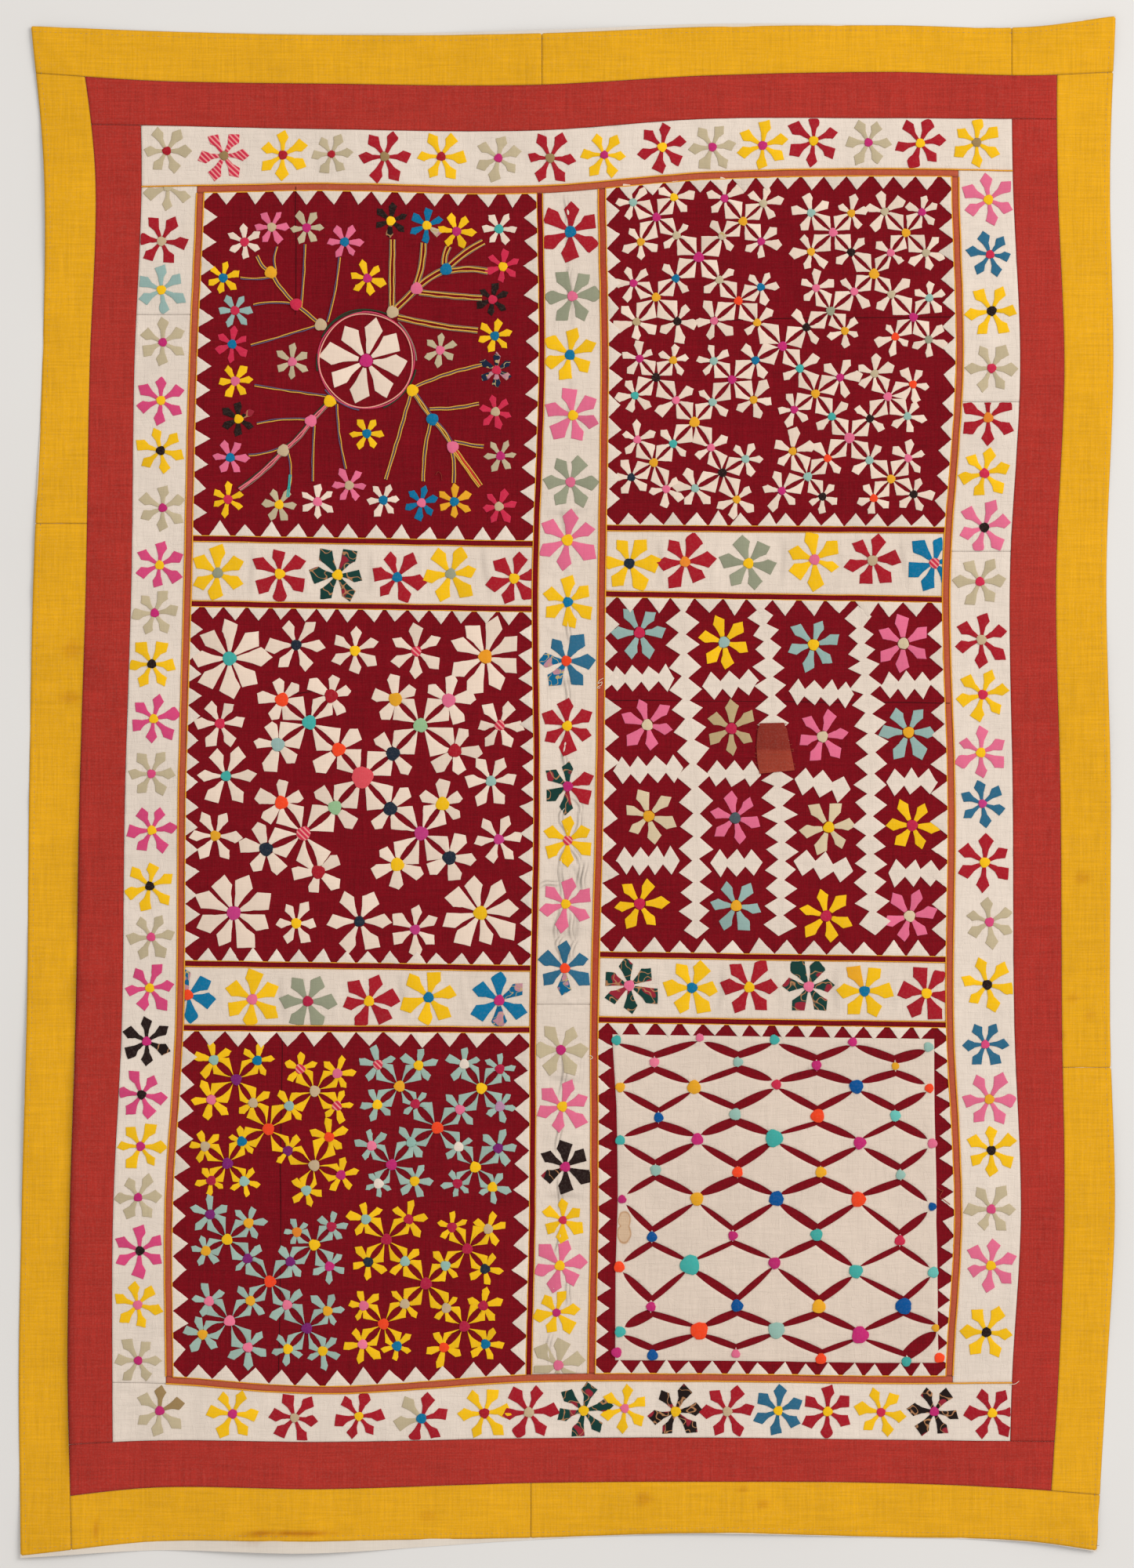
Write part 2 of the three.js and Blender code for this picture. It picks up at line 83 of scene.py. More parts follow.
# Seams that run up the quilt: distance right of the middle at each height above the middle
HEIGHTS = [-1050, -810, -580, -320, -20, 280, 570, 830, 1050]
UP_SEAMS = {
    "leftEdge": [-745, -748, -744, -737, -734, -728, -716, -713, -732],
    "leftYellow": [-675, -681, -678, -670, -665, -656, -651, -643, -668],
    "leftRed": [-618, -620, -619, -607, -603, -594, -590, -580, -587],
    "leftWhite": [-546, -547, -548, -533, -530, -522, -515, -504, -500],
    "middleLeft": [-49, -48, -43, -42, -37, -39, -30, -33, -34],
    "middleRight": [29, 29, 33, 33, 40, 43, 47, 43, 43],
    "rightWhite": [525, 527, 539, 528, 530, 523, 541, 535, 535],
    "rightRed": [602, 608, 620, 611, 609, 605, 619, 609, 607],
    "rightYellow": [655, 671, 679, 676, 674, 668, 679, 670, 669],
    "rightEdge": [723, 737, 748, 742, 743, 737, 746, 742, 749],
}

# Seams that run across the quilt: height above the middle at each place right of the middle
PLACES = [-750, -560, -330, -50, 190, 440, 630, 750]
ACROSS_SEAMS = {
    "bottomEdge": [-1050, -1031, -1030, -1026, -1019, -1025, -1030, -1047],
    "bottomYellow": [-977, -957, -959, -951, -949, -951, -959, -969],
    "bottomRed": [-903, -893, -895, -890, -889, -892, -894, -894],
    "bottomWhite": [-815, -815, -829, -813, -812, -815, -814, -814],
    "topWhite": [816, 818, 822, 818, 837, 842, 839, 839],
    "topRed": [904, 901, 896, 894, 910, 911, 910, 910],
    "topYellow": [974, 962, 958, 956, 969, 974, 969, 974],
    "topEdge": [1037, 1030, 1025, 1026, 1036, 1038, 1035, 1050],
}
BACKING_BELOW = [3, 12, 16, 3, 1, 1, 1, 1]
BACKING_ABOVE = [0.5, 0.5, 2, 4, 4, 0.5, 0.5, 0.5]

# Flower strips across the field: heights of their upper and lower edges at the outer and inner ends
FIELD_LEFT = [-530, -40]
FIELD_RIGHT = [45, 530]
CROSS_STRIPS = {
    "left_upper": (FIELD_LEFT, [334, 326], [253, 245]),
    "left_lower": (FIELD_LEFT, [-246, -253], [-326, -329]),
    "right_upper": (FIELD_RIGHT, [348, 345], [266, 258]),
    "right_lower": (FIELD_RIGHT, [-234, -241], [-315, -322]),
}

# Heights of the joins of the border lengths
BORDER_JOINS = {
    "yellowLeftJoin": 358,
    "yellowRightJoin": -384,
    "whiteLeftJoin": 643,
    "whiteRightLowJoin": 320,
    "whiteRightHighJoin": 524,
    "middleJoin": -298,
}

# Pieced lengths of the face: the seams on the left, right, lower and upper side of each. Field seams are
# the inner edges of the rust strips round the panels, and the middle strip is edged with a maroon and a
# rust strip.
FACE_LENGTHS = {
    "yellow_top_1": "leftEdge middleLeft topYellow topEdge",
    "yellow_top_2": "middleLeft rightRed topYellow topEdge",
    "yellow_top_3": "rightRed rightEdge topYellow topEdge",
    "yellow_left_1": "leftEdge leftYellow yellowLeftJoin topYellow",
    "yellow_left_2": "leftEdge leftYellow bottomEdge yellowLeftJoin",
    "yellow_right_1": "rightYellow rightEdge yellowRightJoin topYellow",
    "yellow_right_2": "rightYellow rightEdge bottomYellow yellowRightJoin",
    "yellow_bottom_1": "leftYellow middleLeft bottomEdge bottomYellow",
    "yellow_bottom_2": "middleLeft rightEdge bottomEdge bottomYellow",
    "red_top": "leftYellow rightYellow topRed topYellow",
    "red_bottom": "leftYellow rightYellow bottomYellow bottomRed",
    "red_left": "leftYellow leftRed bottomRed topRed",
    "red_right": "rightRed rightYellow bottomRed topRed",
    "white_top": "leftRed rightRed topWhite topRed",
    "white_bottom": "leftRed rightRed bottomRed bottomWhite",
    "white_left_1": "leftRed leftWhite whiteLeftJoin topWhite",
    "white_left_2": "leftRed leftWhite bottomWhite whiteLeftJoin",
    "white_right_1": "rightWhite rightRed whiteRightHighJoin topWhite",
    "white_right_2": "rightWhite rightRed whiteRightLowJoin whiteRightHighJoin",
    "white_right_3": "rightWhite rightRed bottomWhite whiteRightLowJoin",
    "rust_top": "leftWhite rightWhite fieldTop topWhite",
    "rust_bottom": "leftWhite rightWhite bottomWhite fieldBottom",
    "rust_left": "leftWhite fieldLeft fieldBottom fieldTop",
    "rust_right": "fieldRight rightWhite fieldBottom fieldTop",
    "rust_middle": "middleRight middleRust fieldBottom fieldTop",
    "maroon_middle": "middleMaroon middleLeft fieldBottom fieldTop",
    "middle_1": "middleLeft middleRight middleJoin fieldTop",
    "middle_2": "middleLeft middleRight fieldBottom middleJoin",
}

# Yellow piping along the narrow strips: seams up the quilt with their cords' radii, and seams across it
# with the two seams between which they run
THICK_PIPING = 0.95
THIN_PIPING = 0.72
PIPING_UP = {
    "leftWhite": THICK_PIPING,
    "fieldLeft": THICK_PIPING,
    "middleMaroon": THIN_PIPING,
    "middleLeft": THIN_PIPING,
    "middleRight": THICK_PIPING,
    "middleRust": THICK_PIPING,
    "fieldRight": THICK_PIPING,
    "rightWhite": THICK_PIPING,
}
PIPING_ACROSS = [
    "topWhite leftRed rightRed",
    "fieldTop fieldLeft middleMaroon",
    "fieldTop middleRust fieldRight",
    "bottomWhite leftWhite rightRed",
    "fieldBottom fieldLeft middleMaroon",
    "fieldBottom middleRust fieldRight",
]
PIPING_HEIGHT = 0.4
PIPING_SWAY = 0.35
SWAY_LENGTH = 40

# Running stitch of the hem: from and to, step, half length and its spread, radius, and heights along a
# stitch
STITCHED_UP = (-1030, 1020)
STITCHED_ACROSS = (-725, 725)
STITCH_STEP = 7.0
STITCH_HALF_LENGTH = (1.9, 0.3)
STITCH_RADIUS = 0.35
STITCH_HEIGHTS = (-0.7, -0.25, -0.25, -0.7)

# Unevenness: rows of height, width and length of the swells, and layer of the noise
LATTICE_SIZE = 256
LAYER_STEP = (31.7, 17.3)
SWELLS = [(0.45, 70, 90, 1), (0.3, 34, 28, 2)]
PUCKERS = [(0.55, 17, 30, 3), (0.5, 28, 15, 4), (0.25, 8, 8, 5)]
RUFFLES = [(0.22, 18, 24, 6), (0.12, 9, 9, 7)]
FADING = [(0.035, 160, 200, 8), (0.03, 40, 50, 9)]
SPOT_EDGE = [(0.2, 9, 9, 10)]
MARK_EDGE = [(0.08, 6, 6, 10)]
PATCH_WRINKLES = [(0.1, 6, 6, 11)]
TRELLIS_WRINKLES = [(0.25, 14, 18, 12), (0.2, 30, 12, 13)]
BLEED_EDGE = [(2, 60, 60, 19)]
JOIN_SWAY = [(0.8, 50, 50, 21)]

# Shares of the swells and ruffles in the relief of the panels, the outer borders and the flower strips
PANEL_SWELL = 0.9
PANEL_RUFFLE = 1.4
BORDER_SWELL = 1.3
STRIP_SWELL = 0.6

# Dye that bled down the left red seam: width, upper and lower ends with the lengths over which it fades,
# and shade
BLEED_WIDTH = 5
BLEED_TOP = 260
BLEED_TOP_FADE = 400
BLEED_BOTTOM = -960
BLEED_BOTTOM_FADE = 60
BLEED_SHADE = 0.42

# Low ripples of the outer borders: side, where along it, half the length, and how high they stand
RIPPLE_REACH = 125
RIPPLES = [
    ("top", -690, 150, 4),
    ("top", -30, 190, 5),
    ("top", 690, 170, 7),
    ("bottom", -700, 150, 6),
    ("bottom", -390, 190, 8),
    ("bottom", 240, 230, 4),
    ("bottom", 680, 160, 6),
    ("left", 800, 210, 4),
    ("left", 330, 210, 3),
    ("left", -420, 250, 5),
    ("right", 570, 230, 4),
    ("right", 90, 200, 3),
    ("right", -560, 250, 5),
]

# Saw-toothed frames: pitches across and up each panel, how far the teeth reach in, and their bases' share
# of a pitch
TOOTH_INSET = 0.3
CORNER_TOOTH = 0.46
TEETH = {
    "stems": (13, 14, 19, 0.78),
    "clusters": (15, 14, 18, 0.97),
    "blooms": (15, 16, 18, 0.86),
    "windows": (13, 13, 21, 0.92),
    "colours": (13, 13, 21, 0.95),
    "trellis": (15, 16, 18, 0.84),
}

# Trellis cloth: margins to its panel, and the sizes of its cuts, which open from the knots of the short
# rows
TRELLIS_LEFT = 22
TRELLIS_RIGHT = 17
TRELLIS_BOTTOM = 18
TRELLIS_TOP = 15.5
TRELLIS_PITCH = 4.5
CUT_HALF_WIDTH = 5.6
CUT_FROM_SHORT = 9
CUT_FROM_FULL = 4
CUT_GAP = (2, 6)
LAST_CUT = 1.9
CUT_SPREAD = 0.16
TRELLIS_EDGE_STEP = 6
TURNED_DEPTH = 1.1
# Painted shade on the turned-down edges of the cloth and round its cuts
TURNED_PAINTED_SHADE = 0.12

# How the two sides of the trellis cloth run on its panel's chart, downward, and how far in a side draws the
# cloth
TRELLIS_SIDES = {
    "left": [
        (117, 128), (125, 256), (133, 384), (136, 544), (138, 768), (133, 928), (129, 1056), (128, 1424),
    ],
    "right": [
        (1430, 128), (1430, 182), (1432, 448), (1437, 630), (1438, 864), (1443, 1056), (1445, 1280),
        (1448, 1424),
    ],
}
SIDE_REACH = 40

# Chains of diamonds down the window panel, on its chart: upper end, middles of the diamonds, lower end
CHAINS = [
    [
        (368, 112), (368, 158), (370, 247), (380, 333), (378, 429), (391, 510), (400, 596), (411, 678),
        (415, 785), (425, 884), (430, 985), (425, 1080), (423, 1175), (430, 1258), (420, 1337), (429, 1411),
        (428, 1450),
    ],
    [
        (687, 92), (691, 134), (710, 201), (722, 267), (723, 342), (730, 415), (736, 498), (740, 571),
        (746, 646), (752, 721), (758, 796), (760, 866), (769, 939), (774, 1016), (777, 1089), (771, 1169),
        (773, 1242), (770, 1316), (769, 1393), (764, 1436),
    ],
    [
        (1090, 92), (1090, 134), (1097, 210), (1102, 278), (1112, 333), (1118, 412), (1127, 492),
        (1135, 568), (1144, 645), (1141, 734), (1138, 817), (1138, 900), (1132, 987), (1135, 1065),
        (1138, 1142), (1138, 1218), (1142, 1298), (1151, 1380), (1156, 1432),
    ],
]
DIAMOND_HALF_WIDTH = 22.5
NARROW_DIAMOND = 18
NARROW_DIAMONDS = [[14], [0, 1, 2], [0, 1, 2]]
WAIST_HALF_WIDTH = 4.6
BAR_HALF_WIDTH = 19
BAR_WAIST = 5
DIAMOND_END = 0.8
DIAMOND_SPREAD = 0.05
DIAMOND_SLIP = 1.2

# Mending patch on the same chart: its left and right edges from the top, and where its worn lower part
# begins
MEND_LEFT = [(687, 568), (677, 593), (671, 660), (675, 720), (684, 774)]
MEND_RIGHT = [(785, 566), (797, 593), (810, 664), (820, 715), (828, 760)]
MEND_WORN = 672
FRAYS = 9
FRAY_LENGTH = (1.5, 4.5)
FRAY_SLANT = 0.7
FRAY_RADIUS = 0.3

# Flat strips: heights of their nine columns, and painted shade on them, darker at the turned edges and along
# the middle crease, as shares
RIBBON_RISES = [0.15, 0.85, 1, 1, 0.88, 1, 1, 0.85, 0.15]
RIBBON_PAINTED_SHADES = [0.95, 1, 1, 1, 0.97, 1, 1, 1, 0.95]

# Petals as shares of their length: root, half neck, half waist, half width, and where they are widest
PETALS = {
    "border": (0.15, 0.055, 0.105, 0.235, 0.73),
    "strip": (0.155, 0.055, 0.145, 0.26, 0.72),
    "stems": (0.22, 0.09, 0.14, 0.21, 0.75),
    "windows": (0.20, 0.07, 0.13, 0.225, 0.72),
    "large": (0.16, 0.04, 0.12, 0.228, 0.73),
    "clusters": (0.17, 0.07, 0.14, 0.235, 0.77),
    "blooms": (0.22, 0.12, 0.18, 0.265, 0.80),
    "colours": (0.22, 0.10, 0.15, 0.205, 0.76),
}

# Linked half petals as shares of the link's length, along it and beside it: corner, shoulder at the hub,
# shoulder at the satellite, and half the slit
LINKS = {
    "clusters": ((0.50, 0.40), (0.17, 0.07), (0.87, 0.12), 0.062),
    "blooms": ((0.61, 0.42), (0.21, 0.10), (0.87, 0.16), 0.065),
    "colours": ((0.665, 0.385), (0.19, 0.06), (0.90, 0.18), 0.10),
}
LINK_HALF_ANGLE = math.radians(44)
KITE_ANGLE = math.radians(60)
KITE_WAIST = 0.45
FREE_REACH = {"clusters": 0.72, "blooms": 0.67, "colours": 0.67}

# How much petals, middles and links differ by chance: shares, but degrees for the turn and millimetres for
# roughness
PETAL_BREADTH_SPREAD = 0.07
PETAL_LENGTH_SPREAD = 0.05
PETAL_LEAN = 0.9
PETAL_TURN_SPREAD = 2.5
DOT_SPREAD = 0.03
LINK_SPREAD = 0.03
SLIT_SPREAD = 0.12
FREE_SPREAD = 0.06
TONE_SPREAD = 0.04
RISE_SPREAD = 0.12
CUT_ROUGHNESS = 0.15
DOT_ROUGHNESS = 0.1

# Rings of a sewn-on patch from its rim inward: how far in, the largest share of the way, share of its rise,
# and painted shade, a little darker on the rim where the edge turns under
PATCH_RINGS = [(0, 0, 0.15, 0.97), (0.3, 0.15, 0.85, 1), (1.0, 0.4, 1, 1)]

# Grain of the meshes
MEETING_ROUNDS = 8
SHEET_PITCH = 5.5
IVORY_PITCH = 2.8
PLEAT_PITCH = 1.6
BACKING_PITCH = 16
EDGE_STEPS = [0, 0.7, 1.8, 3.6, 6]
RIM_POINTS = 20
LEAST_RIM = 8

# Cloths of the face by the first words of their names: colour, slot and grain
CLOTHS = {
    "yellow": ("border yellow", "yellow_cotton", SHEET_PITCH),
    "red": ("border red", "red_cotton", SHEET_PITCH),
    "white": ("border ivory", "ivory_cotton", IVORY_PITCH),
    "rust": ("rust", "rust_cotton", SHEET_PITCH),
    "rust_middle": ("dark rust", "rust_cotton", SHEET_PITCH),
    "maroon": ("maroon", "maroon_cotton", SHEET_PITCH),
    "middle": ("ivory", "ivory_cotton", PLEAT_PITCH),
    "cross": ("ivory", "ivory_cotton", IVORY_PITCH),
    "panel": ("maroon", "maroon_cotton", SHEET_PITCH),
}

# Cottons by slot: thread size, contrast, and on some bump, lint and creases
COTTONS = {
    "backing_cotton": (1.5, 0.05),
    "yellow_cotton": (2.2, 0.14, 0.6, 0.05),
    "red_cotton": (2.0, 0.22, 0.6, 0.04),
    "ivory_cotton": (1.5, 0.08, 0.6, 0.04, 0.45),
    "rust_cotton": (1.8, 0.12, 0.5, 0.06),
    "maroon_cotton": (1.6, 0.28, 0.5, 0.01),
    "mend_cotton": (1.8, 0.16, 0.7, 0.05),
}
WEAVE_SPREAD = 0.12
LINT_COLOUR = (0.72, 0.6, 0.5, 1)
PRINT_THREAD = 1.4
PRINT_CONTRAST = 0.1
PRINT_BUMP = 0.5
FLOOR_TONES = [(0.770, 0.748, 0.726, 1), (0.800, 0.780, 0.758, 1)]

# Least width in metres of the flat size reckoned for a cut cloth
LEAST_CUT = 0.01

# Floor, light and camera in metres, and the view in units of the face chart
FLOOR_HALF = 6.0
WINDOW_ENERGY = 475
WINDOW_SIZE = 5
WINDOW_COLOUR = (1.0, 0.985, 0.96)
WINDOW_PLACE = (6.5, 3.8, 5.95)
ROOM_COLOUR = (1.0, 0.99, 0.975, 1)
ROOM_STRENGTH = 0.69
CAMERA_DISTANCE = 6.0
SENSOR_WIDTH = 36
VIEW_SIZE = (1447, 2000)

# Charts: places counted right and down in chart units. A panel chart is finer than the face chart by its
# last number.
FACE_UNIT = 1.07
FACE_MIDDLE = (723, 1002.5)
PANEL_CHARTS = {
    "stems": (235, 225, 3.336),
    "clusters": (760, 220, 3.336),
    "blooms": (225, 755, 3.2),
    "windows": (755, 745, 3.2),
    "colours": (205, 1290, 3.2),
    "trellis": (745, 1290, 3.2),
}

# Colours of the cloths as the eye sees them, from 0 to 255
PALETTE = {
    "ivory": (226, 210, 195),
    "border ivory": (228, 213, 199),
    "petal ivory": (231, 209, 190),
    "trellis ivory": (221, 203, 187),
    "backing": (222, 211, 198),
    "border yellow": (226, 164, 24),
    "border red": (172, 49, 40),
    "rust": (181, 84, 58),
    "dark rust": (173, 68, 47),
    "maroon": (119, 7, 21),
    # Painted shadow of the seams and folds inside the panels
    "seam": (64, 6, 12),
    "piping": (228, 158, 44),
    "mend": (134, 45, 34),
    "worn mend": (154, 60, 43),
    "yellow": (241, 188, 20),
    "gold": (227, 162, 36),
    "sage": (190, 174, 142),
    "beige": (194, 170, 136),
    "pale beige": (212, 192, 158),
    "khaki": (181, 158, 117),
    "olive": (154, 126, 84),
    "grey-green": (146, 148, 124),
    "red": (164, 24, 38),
    "crimson": (202, 42, 74),
    "wine": (174, 30, 64),
    "coral": (224, 80, 90),
    "pink": (224, 107, 140),
    "rose": (210, 70, 119),
    "pale pink": (231, 118, 146),
    "magenta": (190, 40, 110),
    "orchid": (194, 58, 126),
    "raspberry": (190, 34, 72),
    "orange": (228, 132, 42),
    "amber": (236, 154, 34),
    "orange-red": (240, 70, 32),
    "purple": (120, 32, 108),
    "lilac": (178, 130, 160),
    "blue": (6, 110, 152),
    "slate blue": (44, 102, 132),
    "royal": (4, 78, 142),
    "navy": (30, 42, 56),
    "steel": (72, 84, 90),
    "light blue": (146, 174, 168),
    "sky": (156, 180, 168),
    "aqua": (146, 182, 170),
    "turquoise": (104, 188, 178),
    "pale green": (148, 186, 140),
    "teal": (64, 166, 158),
    "black": (36, 22, 20),
    "pink stripe": (204, 48, 74),
    "green print": (24, 60, 54),
    "black print": (34, 24, 22),
    "blue print": (16, 98, 138),
    "navy print": (28, 40, 62),
    "pale print": (196, 176, 150),
    "yarn gold": (222, 172, 72),
    "yarn grey": (138, 122, 106),
    "yarn violet": (98, 88, 118),
    "yarn pink": (228, 118, 128),
    "yarn rose": (208, 72, 104),
    "yarn pale": (238, 166, 148),
    "yarn red": (212, 48, 50),
    "yarn green": (40, 66, 46),
    "yarn teal": (60, 176, 168),
    "thread": (176, 150, 112),
}

# Which of the petal cloths these colours are cut from, others being plain
PRINTS = {
    "pink stripe": 1, "green print": 2, "black print": 2, "blue print": 3, "navy print": 3, "pale print": 3,
}

# Petal lengths of the flowers: in millimetres on the strips, then on the panels' charts
STRIP_SIZES = {"top": 36, "bottom": 37, "left": 36, "right": 38.5, "middle": 39.4}
CROSS_FLOWER = 41
STEM_FLOWER = 78
WINDOW_FLOWER = 116

# Round middles: shares of the petals' length, or radii in millimetres of a hub, its clusters and their
# satellites
MIDDLE_SHARES = {"border": 0.178, "strip": 0.178, "stems": 0.255, "windows": 0.2, "large": 0.15}
CLUSTER_MIDDLES = {"clusters": (7.2, 6.1, 5.6), "blooms": (15, 9.8, 9.4), "colours": (8.3, 7.6, 6.9)}
WHITE_CENTRE_MIDDLE = 6.6
BLOOM_MIDDLES = {6: 7.2, 8: 9.6}
CORNER_KNOT = 7.2
STEM_DOT = 26

# Border flowers of these colours are larger or smaller than the others
BORDER_SIZES = {"red": 1.03, "sage": 0.94, "slate blue": 0.87}

# Flowers of the borders and strips: place on the face chart, tilt, petals, middle, and on some how much
# larger they are. The tilt is how many degrees clockwise from straight up the first petal is. Petals are of
# one colour, or listed clockwise from the first one. The side borders and the middle strip give the place
# down the strip, and how many millimetres right of its middle line. The cross strips give the place along
# them, and how many above the line.
TOP_BORDER = [
    (213, 193, 30, "sage", "red"), (286, 199, 28, "pink stripe", "olive"), (361, 198, -2, "yellow", "red"),
    (423, 197, 27, "sage", "red", 0.88), (491, 200, 28, "red", "olive"), (563, 200, 30, "yellow", "red"),
    (636, 202, 8, "sage", "magenta"), (702, 202, 30, "red", "olive"),
    (771, 198, -26, "yellow", "magenta", 0.9), (845, 188, 9, "red", "yellow"),
    (909, 188, 24, "sage", "magenta"), (973, 186, 6, "yellow", "magenta"), (1038, 180, 5, "red", "yellow"),
    (1108, 182, 30, "sage", "magenta"), (1174, 183, 20, "red", "yellow"), (1246, 182, 2, "yellow", "olive"),
]
BOTTOM_BORDER = [
    (204, 1799, 4, "olive+olive+sage", "magenta"), (297, 1803, 29, "yellow", "magenta"),
    (376, 1808, -18, "red", "beige", 0.94), (458, 1806, 22, "red", "yellow", 0.92),
    (538, 1809, 20, "red+red+red+red+sage", "blue", 1.08), (618, 1802, 24, "yellow", "red", 1.06),
    (675, 1801, 25, "red", "beige", 1.05), (745, 1799, 17, "green print", "yellow", 1.08),
    (797, 1796, 8, "yellow", "pink", 0.92), (862, 1800, 19, "black print", "yellow", 1.07),
    (928, 1800, 28, "red", "beige"), (993, 1799, 8, "slate blue", "yellow", 1.14),
    (1056, 1800, 0, "red", "yellow"), (1124, 1801, -21, "yellow", "crimson", 0.95),
    (1192, 1800, -22, "black print", "magenta"), (1266, 1802, 29, "red", "yellow"),
]
LEFT_BORDER = [
    (239, -2, 4, "sage", "sage"), (308, -8, -24, "red", "beige"), (370, -5, -2, "light blue", "yellow"),
    (437, 0, 0, "sage", "magenta"), (511, 0, 4, "rose", "yellow"), (575, 1, -15, "yellow", "black"),
    (648, 5, 1, "sage", "magenta"), (721, 2, 6, "rose", "yellow"), (782, -3, 26, "sage", "magenta"),
    (847, -5, 28, "yellow", "black"), (917, 0, 12, "rose", "yellow"), (987, -1, 29, "sage", "rose"),
    (1059, 1, 27, "rose", "yellow"), (1130, -1, 9, "yellow", "black"), (1195, 1, 24, "sage", "rose"),
    (1260, 0, 22, "rose", "yellow"), (1328, -2, -2, "black+black+black print+black", "magenta"),
    (1396, -5, -23, "rose", "black"), (1462, -2, 29, "yellow", "magenta"),
    (1527, -2, 30, "sage", "magenta"), (1595, 2, -2, "rose", "black"), (1664, -1, -15, "yellow", "pink"),
    (1735, -1, 30, "sage", "magenta"),
]
RIGHT_BORDER = [
    (255, 3, -4, "pink", "yellow"), (325, 2, -22, "slate blue", "crimson"), (397, 1, 27, "yellow", "black"),
    (470, 0, -27, "sage", "crimson"), (533, -2, -3, "red", "orange"), (604, -2, 16, "yellow", "crimson"),
    (673, 3, 15, "pink", "black"), (742, 0, 29, "sage", "crimson"), (816, 2, 5, "red", "beige"),
    (886, 2, 17, "yellow", "crimson"), (960, -3, 2, "pink", "yellow"),
    (1025, -2, -10, "slate blue", "orchid"), (1100, 1, 4, "red", "yellow"), (1176, 8, -7, "sage", "rose"),
    (1256, 5, -16, "yellow", "black"), (1332, 1, 28, "slate blue", "rose"), (1402, 3, 30, "pink", "gold"),
    (1467, 2, -1, "yellow", "black", 0.95), (1542, 0, 29, "sage", "rose"), (1614, 2, 9, "pink", "yellow"),
    (1699, 2, -26, "yellow", "black"),
]
MIDDLE_STRIP = [
    (296, -1, 2, "red", "blue", 1.16), (378, 0, 30, "grey-green", "pink"), (453, -4, 6, "yellow", "blue"),
    (530, 1, -10, "pink", "yellow"), (615, 0, 30, "grey-green", "pink"),
    (689, -2, 5, "pink", "yellow", 1.14), (768, 0, -3, "yellow", "blue"),
    (843, -2, 30, "slate blue+slate blue+slate blue+blue print+blue print+slate blue", "orange-red"),
    (926, -1, -3, "red", "yellow"), (1003, 0, 2, "green print+red+red+green print", "magenta"),
    (1072, 1, -1, "yellow", "pink stripe", 0.93), (1153, 0, 8, "pink", "yellow", 0.95),
    (1235, 1, 1, "slate blue+slate blue+slate blue+blue print+slate blue", "orange-red"),
    (1339, -3, -28, "sage", "magenta"), (1411, -1, 13, "pink", "yellow"),
    (1488, 3, -1, "black+black+black+black+black print+black", "magenta"),
    (1556, 0, 0, "yellow", "crimson", 0.8), (1614, -3, 15, "pink", "yellow"),
    (1674, -6, 21, "yellow", "magenta", 0.83), (1741, -2, 10, "sage", "pink"),
]
CROSS_FLOWERS = {
    "left_upper": [
        (278, -2, 1, "yellow", "grey-green"), (357, -2, -2, "red", "yellow"),
        (431, -2, 30, "green print", "yellow"), (507, -4, -20, "red", "blue", 0.94),
        (575, 2, 21, "yellow", "grey-green"), (656, -3, 20, "red", "yellow"),
    ],
    "right_upper": [
        (803, -3, -28, "yellow", "navy"), (874, 0, 25, "red", "orange"),
        (955, -1, -20, "grey-green", "yellow"), (1039, 5, -6, "yellow", "pink"),
        (1113, 5, 20, "red", "beige"), (1192, 2, 15, "blue", "pink stripe"),
    ],
    "left_lower": [
        (240, 1, -10, "blue print+blue", "orange-red"), (322, -4, 1, "yellow", "pink"),
        (393, -6, 28, "grey-green", "wine"), (471, -5, 20, "red", "yellow"), (547, 1, 13, "yellow", "blue"),
        (637, -2, -1, "blue+blue print+blue+blue print+blue", "magenta"),
    ],
    "right_lower": [
        (803, 3, -6, "green print", "pink"), (883, 1, 28, "yellow", "blue"), (956, 3, 29, "red", "yellow"),
        (1032, 5, 30, "green print", "pink"),
        (1103, 0, 30, "yellow+yellow+yellow+yellow+yellow+gold", "blue"), (1182, -2, -21, "red", "yellow"),
    ],
}

# Borders and middle strip by the names of their flowers: the cloth that these are sewn to, the seams round
# them, their rows, how the rows are placed, the kind of petal, and joins that cut flowers off
FLOWER_STRIPS = {
    "top": ("white_top", "leftRed rightRed topWhite topRed", TOP_BORDER, "charted", "border"),
    "bottom": ("white_bottom", "leftRed rightRed bottomRed bottomWhite", BOTTOM_BORDER, "charted", "border"),
    "left": (
        "white_left_2", "leftRed leftWhite bottomWhite topWhite", LEFT_BORDER, "down", "border",
        "whiteLeftJoin",
    ),
    "right": (
        "white_right_3", "rightWhite rightRed bottomWhite topWhite", RIGHT_BORDER, "down", "border",
        "whiteRightLowJoin", "whiteRightHighJoin",
    ),
    "middle": ("middle_1", "middleLeft middleRight fieldBottom fieldTop", MIDDLE_STRIP, "down", "strip"),
}

